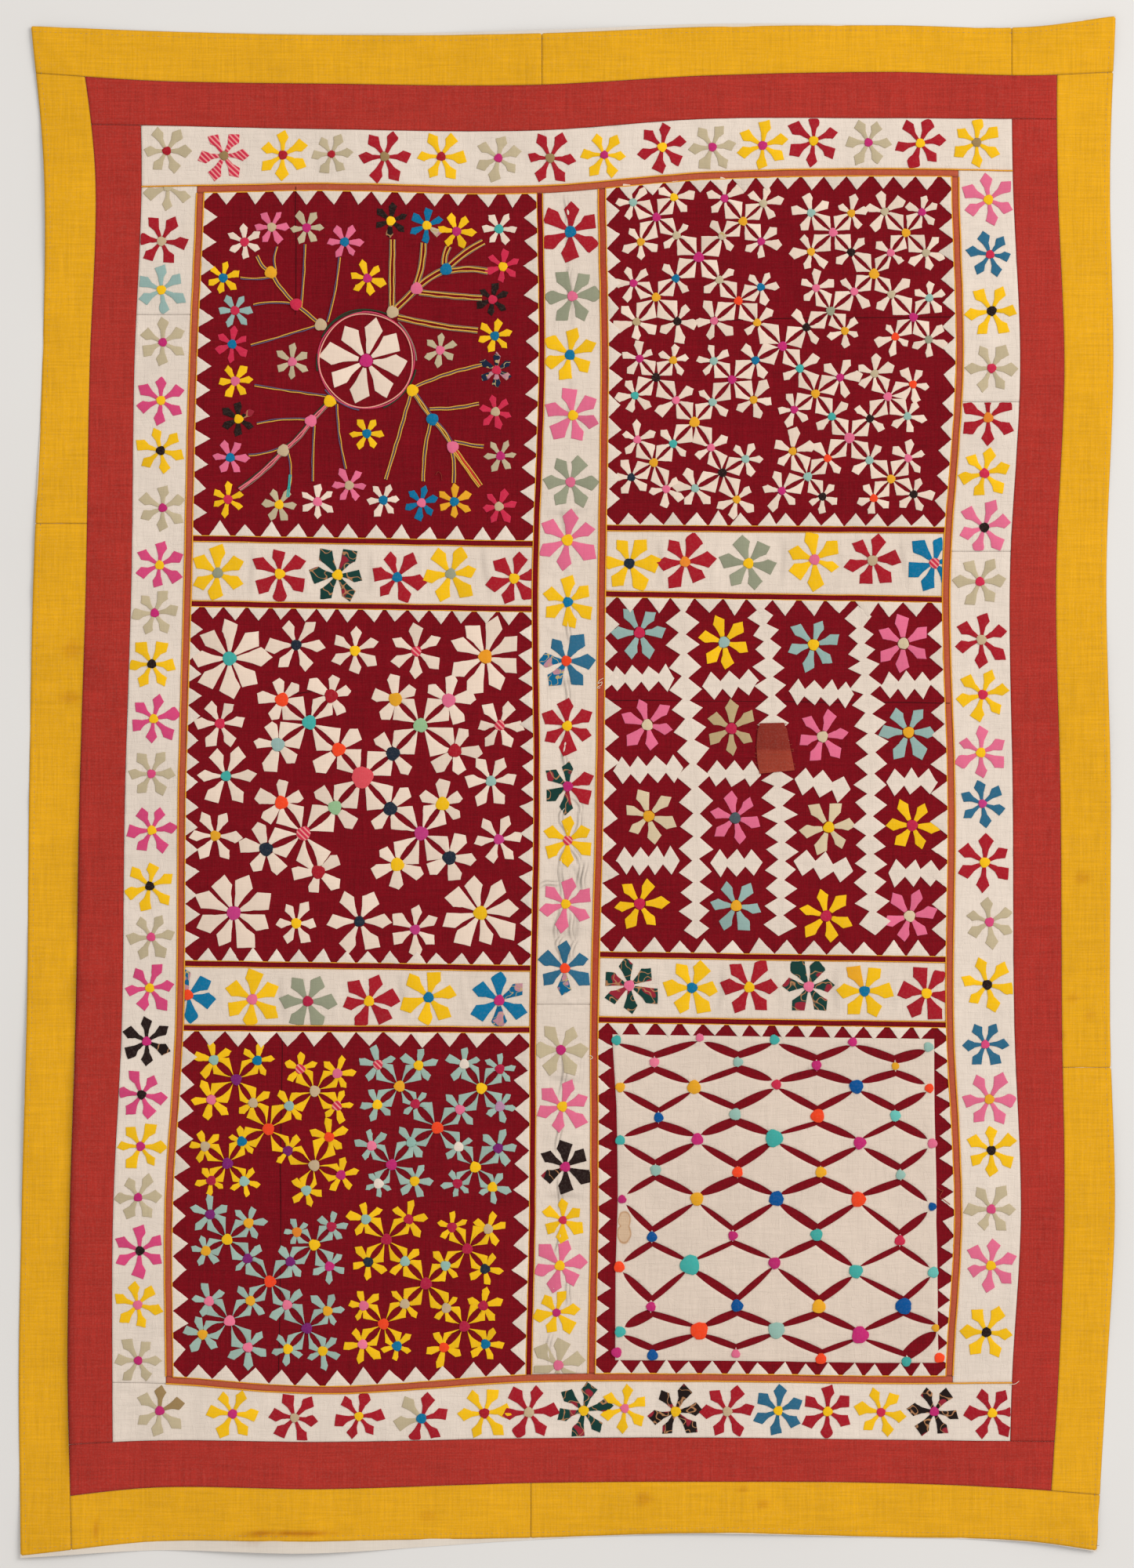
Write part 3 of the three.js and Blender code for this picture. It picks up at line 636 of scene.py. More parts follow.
# Flowers of the stem panel on its chart: x, y, tilt, petals, middle
STEM_FLOWERS = [
    (258, 280, -2, "petal ivory", "crimson"), (373, 217, 30, "pink", "beige"),
    (522, 220, 29, "sage", "magenta"), (683, 280, 29, "pink", "blue"),
    (880, 190, 8, "black+black+black+black print+black", "yellow"),
    (1033, 210, 5, "blue+blue+pale print+blue", "yellow"), (1160, 235, -23, "yellow", "magenta"),
    (1340, 225, 30, "petal ivory", "teal"), (1357, 385, 8, "crimson", "yellow"),
    (1313, 525, 10, "black", "crimson"), (1322, 680, 13, "yellow", "blue"),
    (1330, 825, 0, "navy print", "crimson"), (1325, 1002, -15, "crimson", "beige"),
    (1347, 1190, 27, "sage", "magenta"), (1340, 1405, 23, "crimson", "beige"),
    (1150, 1385, 1, "gold", "blue"), (1010, 1390, 14, "blue", "pink"),
    (848, 1378, 25, "petal ivory", "blue"), (703, 1315, -28, "pink", "beige"),
    (568, 1385, -1, "petal ivory", "pink"), (405, 1397, -26, "sage", "yellow"),
    (187, 1375, 7, "yellow", "crimson"), (197, 1197, -27, "pink", "blue"),
    (232, 1033, 0, "black+black print+black", "yellow"), (218, 872, 27, "yellow", "pink"),
    (205, 715, 4, "crimson", "blue"), (217, 572, 26, "light blue", "crimson"),
    (167, 433, 10, "yellow", "blue"), (780, 435, -15, "yellow", "magenta"), (460, 790, 1, "sage", "pink"),
    (1090, 740, 5, "sage", "pink"), (778, 1095, 30, "yellow", "blue"),
]
MEDALLION = (775, 785)
MEDALLION_RING = 205
MEDALLION_PETALS = 188
MEDALLION_TILT = 13

# Yarns of its ring: from and to which angle, how far outside the ring, and colour
RING_ARCS = [
    (0, 360, 0, "yarn rose"), (0, 360, -1.9, "yarn pale"), (95, 152, 2.4, "yarn green"),
    (60, 140, 4.2, "yarn green"), (172, 192, 2.2, "yarn green"), (215, 262, 2.3, "yarn violet"),
    (290, 350, 2.3, "yarn green"), (0, 50, 2.3, "yarn grey"),
]

# Couched stems on the same chart: from x, y, to x, y
STEMS = {
    "upper left": [
        (582, 632, 477, 545), (477, 545, 370, 410), (370, 410, 310, 340), (582, 632, 285, 720),
        (610, 620, 662, 345), (477, 545, 295, 548), (498, 555, 515, 290), (370, 430, 240, 433),
        (390, 400, 396, 300),
    ],
    "upper right": [
        (887, 578, 990, 478), (990, 478, 1115, 397), (1115, 397, 1275, 280), (885, 560, 888, 270),
        (910, 600, 1250, 657), (985, 470, 1020, 285), (1000, 495, 1268, 518), (1108, 380, 1125, 300),
        (1125, 405, 1292, 405),
    ],
    "lower right": [
        (972, 912, 1057, 1035), (1057, 1035, 1143, 1152), (985, 895, 1268, 803),
        (965, 925, 858, 1290), (1045, 990, 1255, 968), (1050, 1045, 1018, 1298), (1150, 1128, 1275, 1150),
        (1140, 1165, 1147, 1305),
    ],
    "lower right end": [(1143, 1152, 1262, 1318)],
    "lower left": [
        (620, 958, 540, 1042), (540, 1042, 423, 1167), (423, 1167, 235, 1332), (605, 935, 300, 890),
        (650, 970, 688, 1245), (530, 1035, 310, 1052), (555, 1060, 548, 1298), (415, 1155, 275, 1187),
        (445, 1180, 445, 1335),
    ],
    "teal end": [(452, 1270, 442, 1365)],
}

# Yarns of the stems: distance from the stem's middle, radius and colour, first for the diagonals, then the
# branches
STEM_YARNS = {
    "upper left": (
        [(-1.8, 0.8, "yarn gold"), (0, 0.8, "yarn violet"), (1.8, 0.8, "yarn gold")],
        [(-0.9, 0.8, "yarn gold"), (0.9, 0.8, "yarn violet")],
    ),
    "upper right": (
        [(-4.2, 0.6, "yarn grey"), (-2.6, 1.0, "yarn gold"), (2.6, 1.0, "yarn gold"),
         (4.2, 0.6, "yarn grey")],
        [(-3.9, 0.6, "yarn grey"), (-2.3, 1.0, "yarn gold"), (2.3, 1.0, "yarn gold"),
         (3.9, 0.6, "yarn grey")],
    ),
    "lower right": (
        [(-2.9, 0.7, "yarn grey"), (-1.2, 1.0, "yarn gold"), (1.2, 1.0, "yarn gold"),
         (2.9, 0.7, "yarn violet")],
        [(-1.7, 0.8, "yarn gold"), (0, 0.7, "yarn violet"), (1.7, 0.8, "yarn gold")],
    ),
    "lower right end": (
        [(-3.2, 0.9, "yarn gold"), (-1.2, 1.1, "yarn gold"), (0.8, 1.1, "yarn red"),
         (2.8, 0.9, "yarn gold")],
        [],
    ),
    "lower left": (
        [(-3.1, 0.7, "yarn green"), (-1.2, 1.2, "yarn pink"), (1.2, 1.2, "yarn pink"),
         (3.1, 0.7, "yarn grey")],
        [(-0.9, 0.8, "yarn violet"), (0.9, 0.8, "yarn gold")],
    ),
    "teal end": ([(-0.8, 1.0, "yarn teal"), (1.0, 1.0, "yarn teal")], []),
}
STEM_BOW = 3
LEAST_LEAN = 0.45
STEM_DOTS = [
    (582, 632, "beige"), (477, 545, "crimson"), (370, 410, "gold"), (887, 578, "beige"), (990, 478, "pink"),
    (1115, 397, "blue"), (972, 912, "yellow"), (1057, 1035, "blue"), (1143, 1152, "pink"),
    (620, 958, "yellow"), (540, 1042, "pink"), (423, 1167, "beige"),
]

# Linked clusters: a hub with its middle, and four clusters round it. Each cluster is a hub and its four
# satellites, and the first satellite is the one that the middle hub also holds.
WHITE_CLUSTERS = [
    ((439, 362, "magenta"), [
        ((259, 192, "magenta"),
         [(344, 269, "sage"), (159, 129, "aqua"), (334, 107, "yellow"), (192, 297, "gold")]),
        ((627, 209, "gold"),
         [(539, 272, "pale print"), (548, 112, "magenta"), (713, 133, "sage"), (704, 295, "magenta")]),
        ((257, 532, "gold"),
         [(341, 452, "blue"), (161, 472, "magenta"), (174, 637, "khaki"), (348, 634, "black")]),
        ((607, 547, "orange-red"),
         [(527, 458, "sage"), (703, 489, "blue"), (504, 632, "pink"), (687, 640, "gold")]),
    ]),
    ((1185, 433, "gold"), [
        ((1010, 257, "pink"),
         [(1087, 340, "black"), (917, 173, "aqua"), (1088, 175, "gold"), (917, 338, "gold")]),
        ((1320, 258, "gold"),
         [(1255, 343, "pink"), (1230, 168, "sage"), (1388, 170, "magenta"), (1405, 343, "sage")]),
        ((1000, 590, "grey-green"),
         [(1100, 508, "pink"), (937, 493, "pink"), (897, 660, "black"), (1060, 675, "gold")]),
        ((1352, 617, "magenta"),
         [(1258, 520, "sage"), (1420, 535, "aqua"), (1275, 700, "orange-red"), (1417, 712, "grey-green")]),
    ]),
    ((420, 1063, "gold"), [
        ((257, 873, "black"),
         [(342, 970, "pink"), (187, 793, "magenta"), (330, 800, "gold"), (167, 950, "teal")]),
        ((580, 882, "magenta"),
         [(497, 978, "aqua"), (503, 803, "aqua"), (680, 800, "blue"), (672, 968, "gold")]),
        ((247, 1235, "gold"),
         [(330, 1155, "teal"), (177, 1138, "pink"), (152, 1298, "navy"), (300, 1348, "pink")]),
        ((540, 1278, "black"),
         [(490, 1172, "pink"), (638, 1220, "aqua"), (423, 1345, "aqua"), (600, 1392, "gold")]),
    ]),
    ((1080, 1130, "pink"), [
        ((935, 942, "gold"),
         [(1005, 1040, "teal"), (868, 835, "teal"), (1040, 873, "magenta"), (845, 1010, "magenta")]),
        ((1243, 955, "pink"),
         [(1167, 1048, "black"), (1187, 857, "sage"), (1350, 903, "orange-red"), (1327, 1038, "aqua")]),
        ((903, 1295, "aqua"),
         [(987, 1217, "orange-red"), (838, 1187, "gold"), (792, 1355, "magenta"), (965, 1380, "black")]),
        ((1257, 1305, "gold"),
         [(1165, 1225, "aqua"), (1330, 1217, "pink"), (1183, 1387, "orange-red"), (1353, 1370, "black")]),
    ]),
]
WHITE_CENTRE = ((795, 740, "magenta"), [(687, 640), (897, 660), (680, 800), (868, 835)])
COLOUR_CLUSTERS = [
    ("yellow", (440, 480, "orange-red"), [
        ((310, 278, "purple"),
         [(378, 373, "beige"), (218, 197, "aqua"), (395, 200, "blue"), (207, 360, "pink")]),
        ((630, 325, "beige"),
         [(525, 385, "light blue"), (570, 235, "pink stripe"), (722, 253, "pink"),
          (720, 385, "pink stripe")]),
        ((273, 620, "purple"),
         [(332, 530, "blue"), (182, 550, "beige"), (207, 690, "wine"), (342, 693, "aqua")]),
        ((627, 628, "beige"),
         [(520, 568, "purple"), (688, 512, "orange-red"), (595, 730, "aqua"), (737, 667, "magenta")]),
    ]),
    ("sky", (1130, 475, "orange-red"), [
        ((975, 305, "gold"),
         [(1040, 377, "wine"), (888, 217, "pink stripe"), (1053, 220, "yellow"), (885, 380, "yellow")]),
        ((1310, 313, "yellow"),
         [(1222, 400, "pink"), (1240, 215, "ivory"), (1385, 235, "wine"), (1385, 388, "lilac")]),
        ((943, 625, "magenta"),
         [(1023, 533, "aqua"), (862, 548, "pale pink"), (890, 703, "ivory"), (1037, 692, "yellow")]),
        ((1285, 635, "yellow"),
         [(1217, 552, "ivory"), (1378, 558, "purple"), (1212, 702, "wine"), (1355, 717, "yellow")]),
    ]),
    ("sky", (447, 1102, "orange-red"), [
        ((272, 930, "yellow"),
         [(355, 1008, "purple"), (203, 828, "purple"), (360, 863, "gold"), (185, 977, "gold")]),
        ((628, 952, "yellow"),
         [(530, 1020, "purple"), (557, 900, "orange"), (698, 878, "wine"), (690, 1040, "magenta")]),
        ((282, 1262, "pale pink"),
         [(367, 1180, "gold"), (198, 1182, "pale pink"), (172, 1317, "gold"), (357, 1370, "pale pink")]),
        ((597, 1293, "purple"),
         [(517, 1197, "pale pink"), (682, 1222, "gold"), (520, 1377, "yellow"), (662, 1385, "yellow")]),
    ]),
    ("yellow", (1083, 1110, "wine"), [
        ((922, 930, "wine"),
         [(998, 1020, "aqua"), (838, 848, "aqua"), (1013, 848, "wine"), (848, 1022, "navy")]),
        ((1252, 968, "wine"),
         [(1163, 1037, "aqua"), (1190, 880, "wine"), (1338, 888, "beige"), (1325, 1050, "navy")]),
        ((910, 1275, "orange-red"),
         [(997, 1193, "beige"), (830, 1200, "pink"), (825, 1358, "pale pink"), (965, 1365, "blue")]),
        ((1240, 1285, "wine"),
         [(1167, 1210, "beige"), (1317, 1200, "wine"), (1157, 1370, "orange-red"), (1327, 1357, "blue")]),
    ]),
]
BLOOM_CENTRE = ((760, 757, "coral"), [
    ((543, 533, "teal"),
     [(663, 643, "orange-red"), (432, 440, "orange-red"), (633, 425, "red"), (415, 622, "light blue")]),
    ((997, 545, "pale green"),
     [(885, 660, "navy"), (895, 438, "gold"), (1112, 443, "pink"), (1137, 648, "red")]),
    ((520, 985, "pink stripe"),
     [(648, 880, "pale green"), (430, 860, "orange-red"), (367, 1050, "navy"), (580, 1143, "red")]),
    ((1000, 985, "orchid"),
     [(873, 885, "navy"), (1087, 865, "yellow"), (903, 1113, "yellow"), (1115, 1085, "navy")]),
])

# Large flowers of the bloom panel on its chart: x, y, tilt, number of petals, radius, middle
BLOOMS = [
    (218, 272, 0, 8, 165, "teal"), (490, 217, -27, 6, 124, "navy"), (730, 240, 4, 6, 104, "yellow"),
    (980, 243, 0, 6, 115, "pink stripe"), (1262, 265, 20, 8, 162, "amber"),
    (178, 537, 29, 6, 109, "crimson"), (1320, 545, 30, 6, 107, "pink stripe"),
    (203, 752, 30, 6, 129, "teal"), (1285, 772, 29, 6, 112, "aqua"), (160, 995, 30, 6, 109, "gold"),
    (1317, 1010, 23, 6, 107, "orchid"), (235, 1310, 23, 8, 165, "orchid"),
    (490, 1352, 30, 6, 96, "yellow"), (748, 1345, 30, 6, 140, "navy"), (975, 1378, 2, 6, 112, "orchid"),
    (1242, 1310, -12, 8, 165, "yellow"),
]

# Flowers of the window panel on its chart: x, y, tilt, petals, middle
WINDOW_FLOWERS = [
    (195, 198, 30, "light blue", "raspberry"), (540, 238, -15, "yellow", "light blue"),
    (905, 248, 15, "light blue", "yellow"), (1272, 243, 0, "pink", "pale beige"),
    (227, 575, -15, "pink", "pale beige"), (570, 590, 0, "khaki", "raspberry"),
    (942, 623, 20, "pink", "pale beige"), (1293, 605, 30, "light blue", "gold"),
    (232, 947, -15, "pale beige", "gold"), (585, 955, -15, "pink", "steel"),
    (967, 993, 20, "pale beige", "yellow"), (1308, 985, -27, "yellow", "raspberry"),
    (195, 1305, 25, "yellow", "raspberry"), (590, 1313, -23, "light blue", "gold"),
    (957, 1355, -12, "yellow", "raspberry"), (1298, 1355, 20, "pink", "pale beige"),
]

# Short diamond bars of the window panel on its chart: left end x, y, right end x, y, diamonds
BARS = [
    (70, 388, 335, 382, 4), (452, 420, 680, 398, 3), (808, 440, 1072, 452, 4), (1180, 412, 1385, 412, 3),
    (90, 765, 372, 750, 4), (472, 770, 690, 780, 3), (828, 795, 1055, 838, 3), (1202, 808, 1410, 806, 3),
    (102, 1132, 357, 1128, 4), (485, 1138, 695, 1138, 3), (828, 1130, 1065, 1172, 3),
    (1210, 1178, 1420, 1180, 3),
]

# Knots of the trellis by row on its panel's chart, with the colours of their middles
TRELLIS_KNOTS = [
    [(133, 117, "teal"), (473, 107, "pink"), (778, 115, "teal"), (1097, 124, "magenta"),
     (1407, 145, "aqua")],
    [(288, 207, "pale pink"), (629, 206, "aqua"), (950, 219, "magenta"), (1271, 223, "gold")],
    [(148, 309, "gold"), (450, 309, "gold"), (786, 298, "crimson"), (1112, 306, "royal"),
     (1410, 313, "orange-red")],
    [(305, 432, "royal"), (618, 419, "aqua"), (954, 426, "orange-red"), (1271, 425, "turquoise")],
    [(148, 525, "teal"), (463, 521, "magenta"), (776, 517, "teal"), (1126, 536, "magenta"),
     (1422, 538, "pink")],
    [(293, 647, "aqua"), (627, 655, "orange-red"), (967, 655, "gold"), (1292, 666, "aqua")],
    [(156, 766, "magenta"), (461, 764, "gold"), (786, 764, "royal"), (1120, 766, "orange-red"),
     (1422, 796, "royal")],
    [(278, 919, "royal"), (608, 915, "magenta"), (950, 911, "teal"), (1290, 934, "crimson")],
    [(144, 1042, "orange-red"), (433, 1034, "teal"), (778, 1026, "magenta"), (1110, 1060, "teal"),
     (1426, 1064, "turquoise")],
    [(274, 1204, "magenta"), (625, 1200, "royal"), (959, 1204, "gold"), (1305, 1202, "royal")],
    [(148, 1306, "teal"), (471, 1302, "orange-red"), (786, 1300, "aqua"), (1127, 1319, "magenta"),
     (1435, 1291, "gold")],
    [(280, 1402, "royal"), (620, 1396, "pink"), (967, 1417, "orange-red"), (1316, 1428, "teal")],
]
KNOT_SIZES = [
    [6.8, 5.7, 6.8, 6.4, 6.8], [6.8, 6.8, 6.8, 5.3], [6.8, 9.5, 6.8, 9.5, 6.4], [6.8, 8.3, 9.5, 7.6],
    [6.8, 8.3, 12, 8.7, 6.8], [7.6, 7.6, 7.6, 6.8], [6, 9.1, 10.3, 10.3, 5.7], [7.2, 6.8, 8.3, 7.2],
    [7.6, 13.5, 8.3, 9.5, 7.6], [6.8, 8.3, 9.5, 11.4], [7.6, 12.1, 11.4, 11.8, 5.3], [7.6, 6.1, 7.6, 6.8],
]
CORNER_KNOTS = [(134, 1391, "magenta"), (1451, 1413, "orange-red")]

# Bends of the creases, gathers and pleats below, and how far from a run it is reckoned
RUN_MARGIN = 40
RUN_BEND = 2.5
RUN_WAVES = 5

# Creases on the face chart: from x, y, to x, y, half width, and height, which is below zero for a trough
CREASES = [
    (722, 60, 720, 240, 2.5, -0.9),
    (785, 409, 980, 411, 3, -1.2),
    (232, 884, 480, 886, 3, -0.9),
    (770, 897, 1205, 899, 3, -0.9),
    (365, 250, 372, 680, 3, -0.8),
    (352, 1310, 358, 1740, 3, -0.8),
    (560, 1325, 548, 1560, 4, 0.7),
    (860, 240, 866, 660, 4, 0.5),
    (960, 1330, 968, 1740, 4, 0.5),
    (40, 40, 115, 110, 7, 1.4),
    (60, 36, 150, 70, 6, -1.0),
    (1422, 30, 1345, 105, 7, 1.4),
    (1395, 35, 1300, 60, 6, -1.0),
    (30, 1975, 95, 1900, 7, 1.4),
    (1400, 1970, 1335, 1900, 7, 1.4),
    (330, 1935, 500, 1950, 7, 1.6),
    (380, 1925, 470, 1965, 5, -1.2),
    (121, 1936, 127, 1964, 2.5, -1.4),
    (302, 1960, 352, 1951, 2.5, -1.8),
    (345, 1951, 428, 1959, 2.5, -2.0),
    (685, 1980, 690, 1900, 4, -0.9),
    (690, 25, 695, 95, 4, -0.9),
    (1290, 40, 1296, 98, 3, -0.9),
    (48, 668, 110, 668, 3, -0.7),
    (1352, 1361, 1420, 1361, 3, -0.7),
]

# Seams and pressed folds inside the panels on the face chart, drawn as thin dark cords that are painted
# shadow: from x, y, to x, y
JOIN_RADIUS = 0.5
JOIN_HEIGHT = 0.1
JOINS = [
    (378, 238, 377, 402), (360, 1318, 356, 1748), (772, 893, 1212, 897), (928, 408, 1215, 404),
    (372, 886, 414, 880),
]

# Gathers of the flower strips: from x, y, to x, y, half width, height
GATHERS = [
    (700, 700, 735, 735, 4, 1.0), (690, 655, 755, 650, 4, -0.8), (748, 560, 690, 566, 4, 0.8),
    (690, 800, 752, 812, 4, 0.9), (748, 868, 692, 878, 4, -0.9), (700, 1100, 752, 1108, 4, 0.9),
    (690, 1186, 748, 1192, 5, -1.0), (700, 1262, 745, 1290, 4, 0.9), (690, 1372, 746, 1378, 4, -0.8),
    (690, 1450, 744, 1446, 4, 0.8), (692, 1522, 748, 1530, 4, -0.9), (690, 1640, 744, 1648, 4, 0.9),
    (318, 694, 322, 765, 4, -0.9), (395, 696, 392, 765, 4, 0.9), (468, 696, 474, 766, 4, -1.0),
    (540, 694, 536, 766, 4, 0.9), (616, 694, 622, 766, 4, -0.9), (285, 1236, 280, 1306, 4, 0.9),
    (358, 1240, 362, 1306, 4, -1.0), (432, 1240, 430, 1308, 4, 0.9), (510, 1240, 514, 1306, 4, -1.0),
    (590, 1240, 600, 1304, 5, 1.1), (838, 684, 842, 752, 4, -0.9), (915, 682, 912, 752, 4, 0.9),
    (996, 682, 1000, 754, 4, -1.0), (1076, 680, 1072, 754, 4, 0.9), (1150, 682, 1156, 754, 4, -0.9),
    (842, 1226, 846, 1298, 4, 0.9), (920, 1226, 916, 1298, 4, -1.0), (994, 1228, 998, 1298, 4, 0.9),
    (1068, 1228, 1064, 1298, 4, -0.9), (1142, 1228, 1148, 1300, 4, 0.9), (717, 1106, 716, 1140, 2.5, -1.2),
    (731, 1102, 741, 1145, 2.5, -1.1), (712, 1146, 710, 1190, 2.5, -1.2), (731, 1146, 735, 1204, 2.5, -1.1),
    (728, 262, 722, 350, 3, -1.3), (724, 340, 728, 420, 3, -1.1), (735, 420, 720, 470, 3, 1.0),
    (726, 480, 722, 560, 3, -1.0), (716, 640, 724, 700, 3, -1.0), (712, 900, 716, 985, 3, -1.1),
]

# Pleats that stand up along the middle strip on the face chart: from x, y, to x, y
PLEAT_HALF_WIDTH = 1.7
PLEAT_RISE = 1.5
# Painted shade along both feet of the pleats, where these are and how wide in half widths, and along the
# troughs of the gathers
PLEAT_PAINTED_SHADE = 0.45
PLEAT_FOOT = (1.5, 0.6)
GATHER_PAINTED_SHADE = 0.16
PLEATS = [
    (724, 248, 722, 290), (729, 340, 724, 382), (728, 770, 726, 822), (724, 858, 722, 908),
    (722, 940, 722, 988), (731, 1014, 744, 1038), (743, 1032, 732, 1068), (721, 1024, 716, 1050),
    (717, 1042, 722, 1066), (721, 1078, 717, 1108), (717, 1098, 715, 1150), (730, 1076, 739, 1104),
    (739, 1096, 741, 1136), (746, 1096, 746, 1140), (715, 1160, 709, 1202), (727, 1162, 733, 1202),
    (734, 1196, 729, 1228), (715, 1192, 712, 1212), (712, 1206, 717, 1230), (688, 1131, 714, 1124),
    (719, 1342, 717, 1402), (714, 1424, 713, 1472), (717, 1498, 712, 1546), (713, 1566, 712, 1602),
    (729, 1628, 722, 1668), (703, 1698, 700, 1742),
]
STANDING_PLEATS = [(*run, PLEAT_HALF_WIDTH, PLEAT_RISE) for run in PLEATS]

# Loose ends of thread on the face chart: colour, and the places that they run through
THREAD_RADIUS = 0.5
THREAD_ENDS = [
    ("petal ivory", [(1289, 1765), (1293, 1765), (1296, 1764), (1300, 1761)]),
    ("petal ivory", [(752, 1346), (755, 1347), (756, 1349), (753, 1351)]),
    ("petal ivory", [(770, 865), (765, 868), (763, 872), (768, 870), (767, 874), (763, 876), (763, 878),
                     (766, 877)]),
    ("mend", [(556, 606), (559, 602), (563, 605), (564, 613)]),
    ("worn mend", [(1196, 1515), (1200, 1518), (1203, 1518), (1199, 1526), (1203, 1529), (1208, 1533),
                   (1212, 1536)]),
]

# A water mark of two lobes on the trellis: x, y on the face chart, half width, half height, and its two
# shades
WATER_MARKS = [(796.7, 1556, 7.5, 11), (796.4, 1572.5, 8.1, 12)]
MARK_SHADE = (0.90, 0.76, 0.60)
MARK_OUTLINE = (0.72, 0.52, 0.34)
MARK_LINE = 0.1
MARK_REACH = 15
MARK_PITCH = 1.2

# Stains on the face chart, and in the last three rows brown painted shade in the gape and crease of the hem
# at the lower left: x, y, half width, half height, strength, and kind
STAIN_AND_SHADE_COLOURS = {"brown": (0.60, 0.38, 0.25), "tan": (0.80, 0.66, 0.42), "dusk": (0.50, 0.46, 0.50)}
STAINS_AND_PAINTED_SHADE = [
    (92, 829, 12, 11, 0.32, "brown"), (91, 890, 13, 7, 0.34, "brown"), (1381, 1120, 9, 7, 0.36, "brown"),
    (1369, 1273, 7, 6, 0.32, "brown"), (1391, 1295, 7, 5, 0.28, "brown"), (1353, 1320, 7, 6, 0.30, "brown"),
    (545, 1933, 10, 6, 0.26, "brown"), (821, 1911, 10, 8, 0.40, "brown"), (948, 1899, 7, 5, 0.32, "brown"),
    (974, 1918, 8, 5, 0.36, "brown"), (612, 1770, 30, 9, 0.10, "tan"), (245, 300, 16, 20, 0.08, "tan"),
    # The last three rows are painted shade where the hem gapes and creases at the lower left
    (120, 760, 18, 90, 0.10, "dusk"), (130, 1060, 16, 70, 0.08, "dusk"), (330, 1956, 26, 3, 0.75, "brown"),
    (385, 1955, 36, 3.5, 0.85, "brown"), (124, 1950, 3, 12, 0.5, "brown"),
]


# Colour and chart helpers

def linear(name):
    """A colour of the palette in linear light."""
    seen = np.array(PALETTE[name]) / 255
    return np.where(seen <= 0.04045, seen / 12.92, ((seen + 0.055) / 1.055) ** 2.4)


def on_face(x, y):
    return (x - FACE_MIDDLE[0]) * FACE_UNIT, (FACE_MIDDLE[1] - y) * FACE_UNIT


def on_panel(panel, x, y):
    right, down, finer = PANEL_CHARTS[panel]
    return on_face(right + x / finer, down + y / finer)


def panel_size(panel, length):
    return length / PANEL_CHARTS[panel][2] * FACE_UNIT


# Seam lines

def curve(stations, values):
    """A smooth line through the values at the stations, level past both ends."""
    stations = np.array(stations, float)
    values = np.array(values, float)
    count = len(stations)
    before = np.maximum(np.arange(count) - 1, 0)
    after = np.minimum(np.arange(count) + 1, count - 1)
    slopes = (values[after] - values[before]) / (stations[after] - stations[before])

    def at(place):
        place = np.clip(place, stations[0], stations[-1])
        i = np.clip(np.searchsorted(stations, place) - 1, 0, count - 2)
        span = stations[i + 1] - stations[i]
        part = (place - stations[i]) / span
        rise = values[i + 1] - values[i]
        leaving = slopes[i] * span - rise
        arriving = rise - slopes[i + 1] * span
        return values[i] + rise * part + part * (1 - part) * (leaving * (1 - part) + arriving * part)

    return at


def shifted(line, distance):
    return lambda place: line(place) + distance


def level(value):
    return lambda place: place * 0.0 + value


def value_at(line, place):
    return float(line(np.float64(place)))


up = {name: curve(HEIGHTS, values) for name, values in UP_SEAMS.items()}
across = {name: curve(PLACES, values) for name, values in ACROSS_SEAMS.items()}
strips = {
    name: (curve(ends, upper), curve(ends, lower))
    for name, (ends, upper, lower) in CROSS_STRIPS.items()
}
seams = {
    **up,
    **across,
    **{name: level(height) for name, height in BORDER_JOINS.items()},
    "fieldLeft": shifted(up["leftWhite"], RUST_STRIP),
    "fieldRight": shifted(up["rightWhite"], -RUST_STRIP),
    "fieldTop": shifted(across["topWhite"], -RUST_STRIP),
    "fieldBottom": shifted(across["bottomWhite"], RUST_STRIP),
    "middleMaroon": shifted(up["middleLeft"], -MAROON_STRIP),
    "middleRust": shifted(up["middleRight"], RUST_STRIP),
}
halves = {
    "left": (seams["fieldLeft"], seams["middleMaroon"]),
    "right": (seams["middleRust"], seams["fieldRight"]),
}


def named_seams(names):
    return [seams[name] for name in names.split()]


def half_of(strip):
    return halves[strip.split("_")[0]]


def above(strip):
    return shifted(strips[strip][0], MAROON_STRIP)


def below(strip):
    return shifted(strips[strip][1], -MAROON_STRIP)


def backing_top(x):
    return across["topEdge"](x) + curve(PLACES, BACKING_ABOVE)(x)


def backing_bottom(x):
    return across["bottomEdge"](x) - curve(PLACES, BACKING_BELOW)(x)


PANELS = {
    "stems": (*halves["left"], above("left_upper"), seams["fieldTop"]),
    "clusters": (*halves["right"], above("right_upper"), seams["fieldTop"]),
    "blooms": (*halves["left"], above("left_lower"), below("left_upper")),
    "windows": (*halves["right"], above("right_lower"), below("right_upper")),
    "colours": (*halves["left"], seams["fieldBottom"], below("left_lower")),
    "trellis": (*halves["right"], seams["fieldBottom"], below("right_lower")),
}


def crossing(column, row):
    """Where a line up the quilt meets a line across it."""
    x = np.float64(0)
    y = np.float64(0)
    for _ in range(MEETING_ROUNDS):
        y = row(x)
        x = column(y)
    return x, y


def grid_on(lines, s, t):
    """Places at the shares s across and t up between four lines."""
    left, right, lower, upper = lines
    x = np.zeros_like(s)
    y = np.zeros_like(s)
    for _ in range(MEETING_ROUNDS):
        y = lower(x) * (1 - t) + upper(x) * t
        x = left(y) * (1 - s) + right(y) * s
    return x, y


def size_of(lines):
    left, right, lower, upper = lines
    x, y = grid_on(lines, np.array([0.5]), np.array([0.5]))
    return float((right(y) - left(y))[0]), float((upper(x) - lower(x))[0])


def panel_place(lines, x, y):
    """Places on a panel from millimetres right of and above its lower left corner."""
    width, height = size_of(lines)
    return grid_on(lines, np.asarray(x) / width, np.asarray(y) / height)


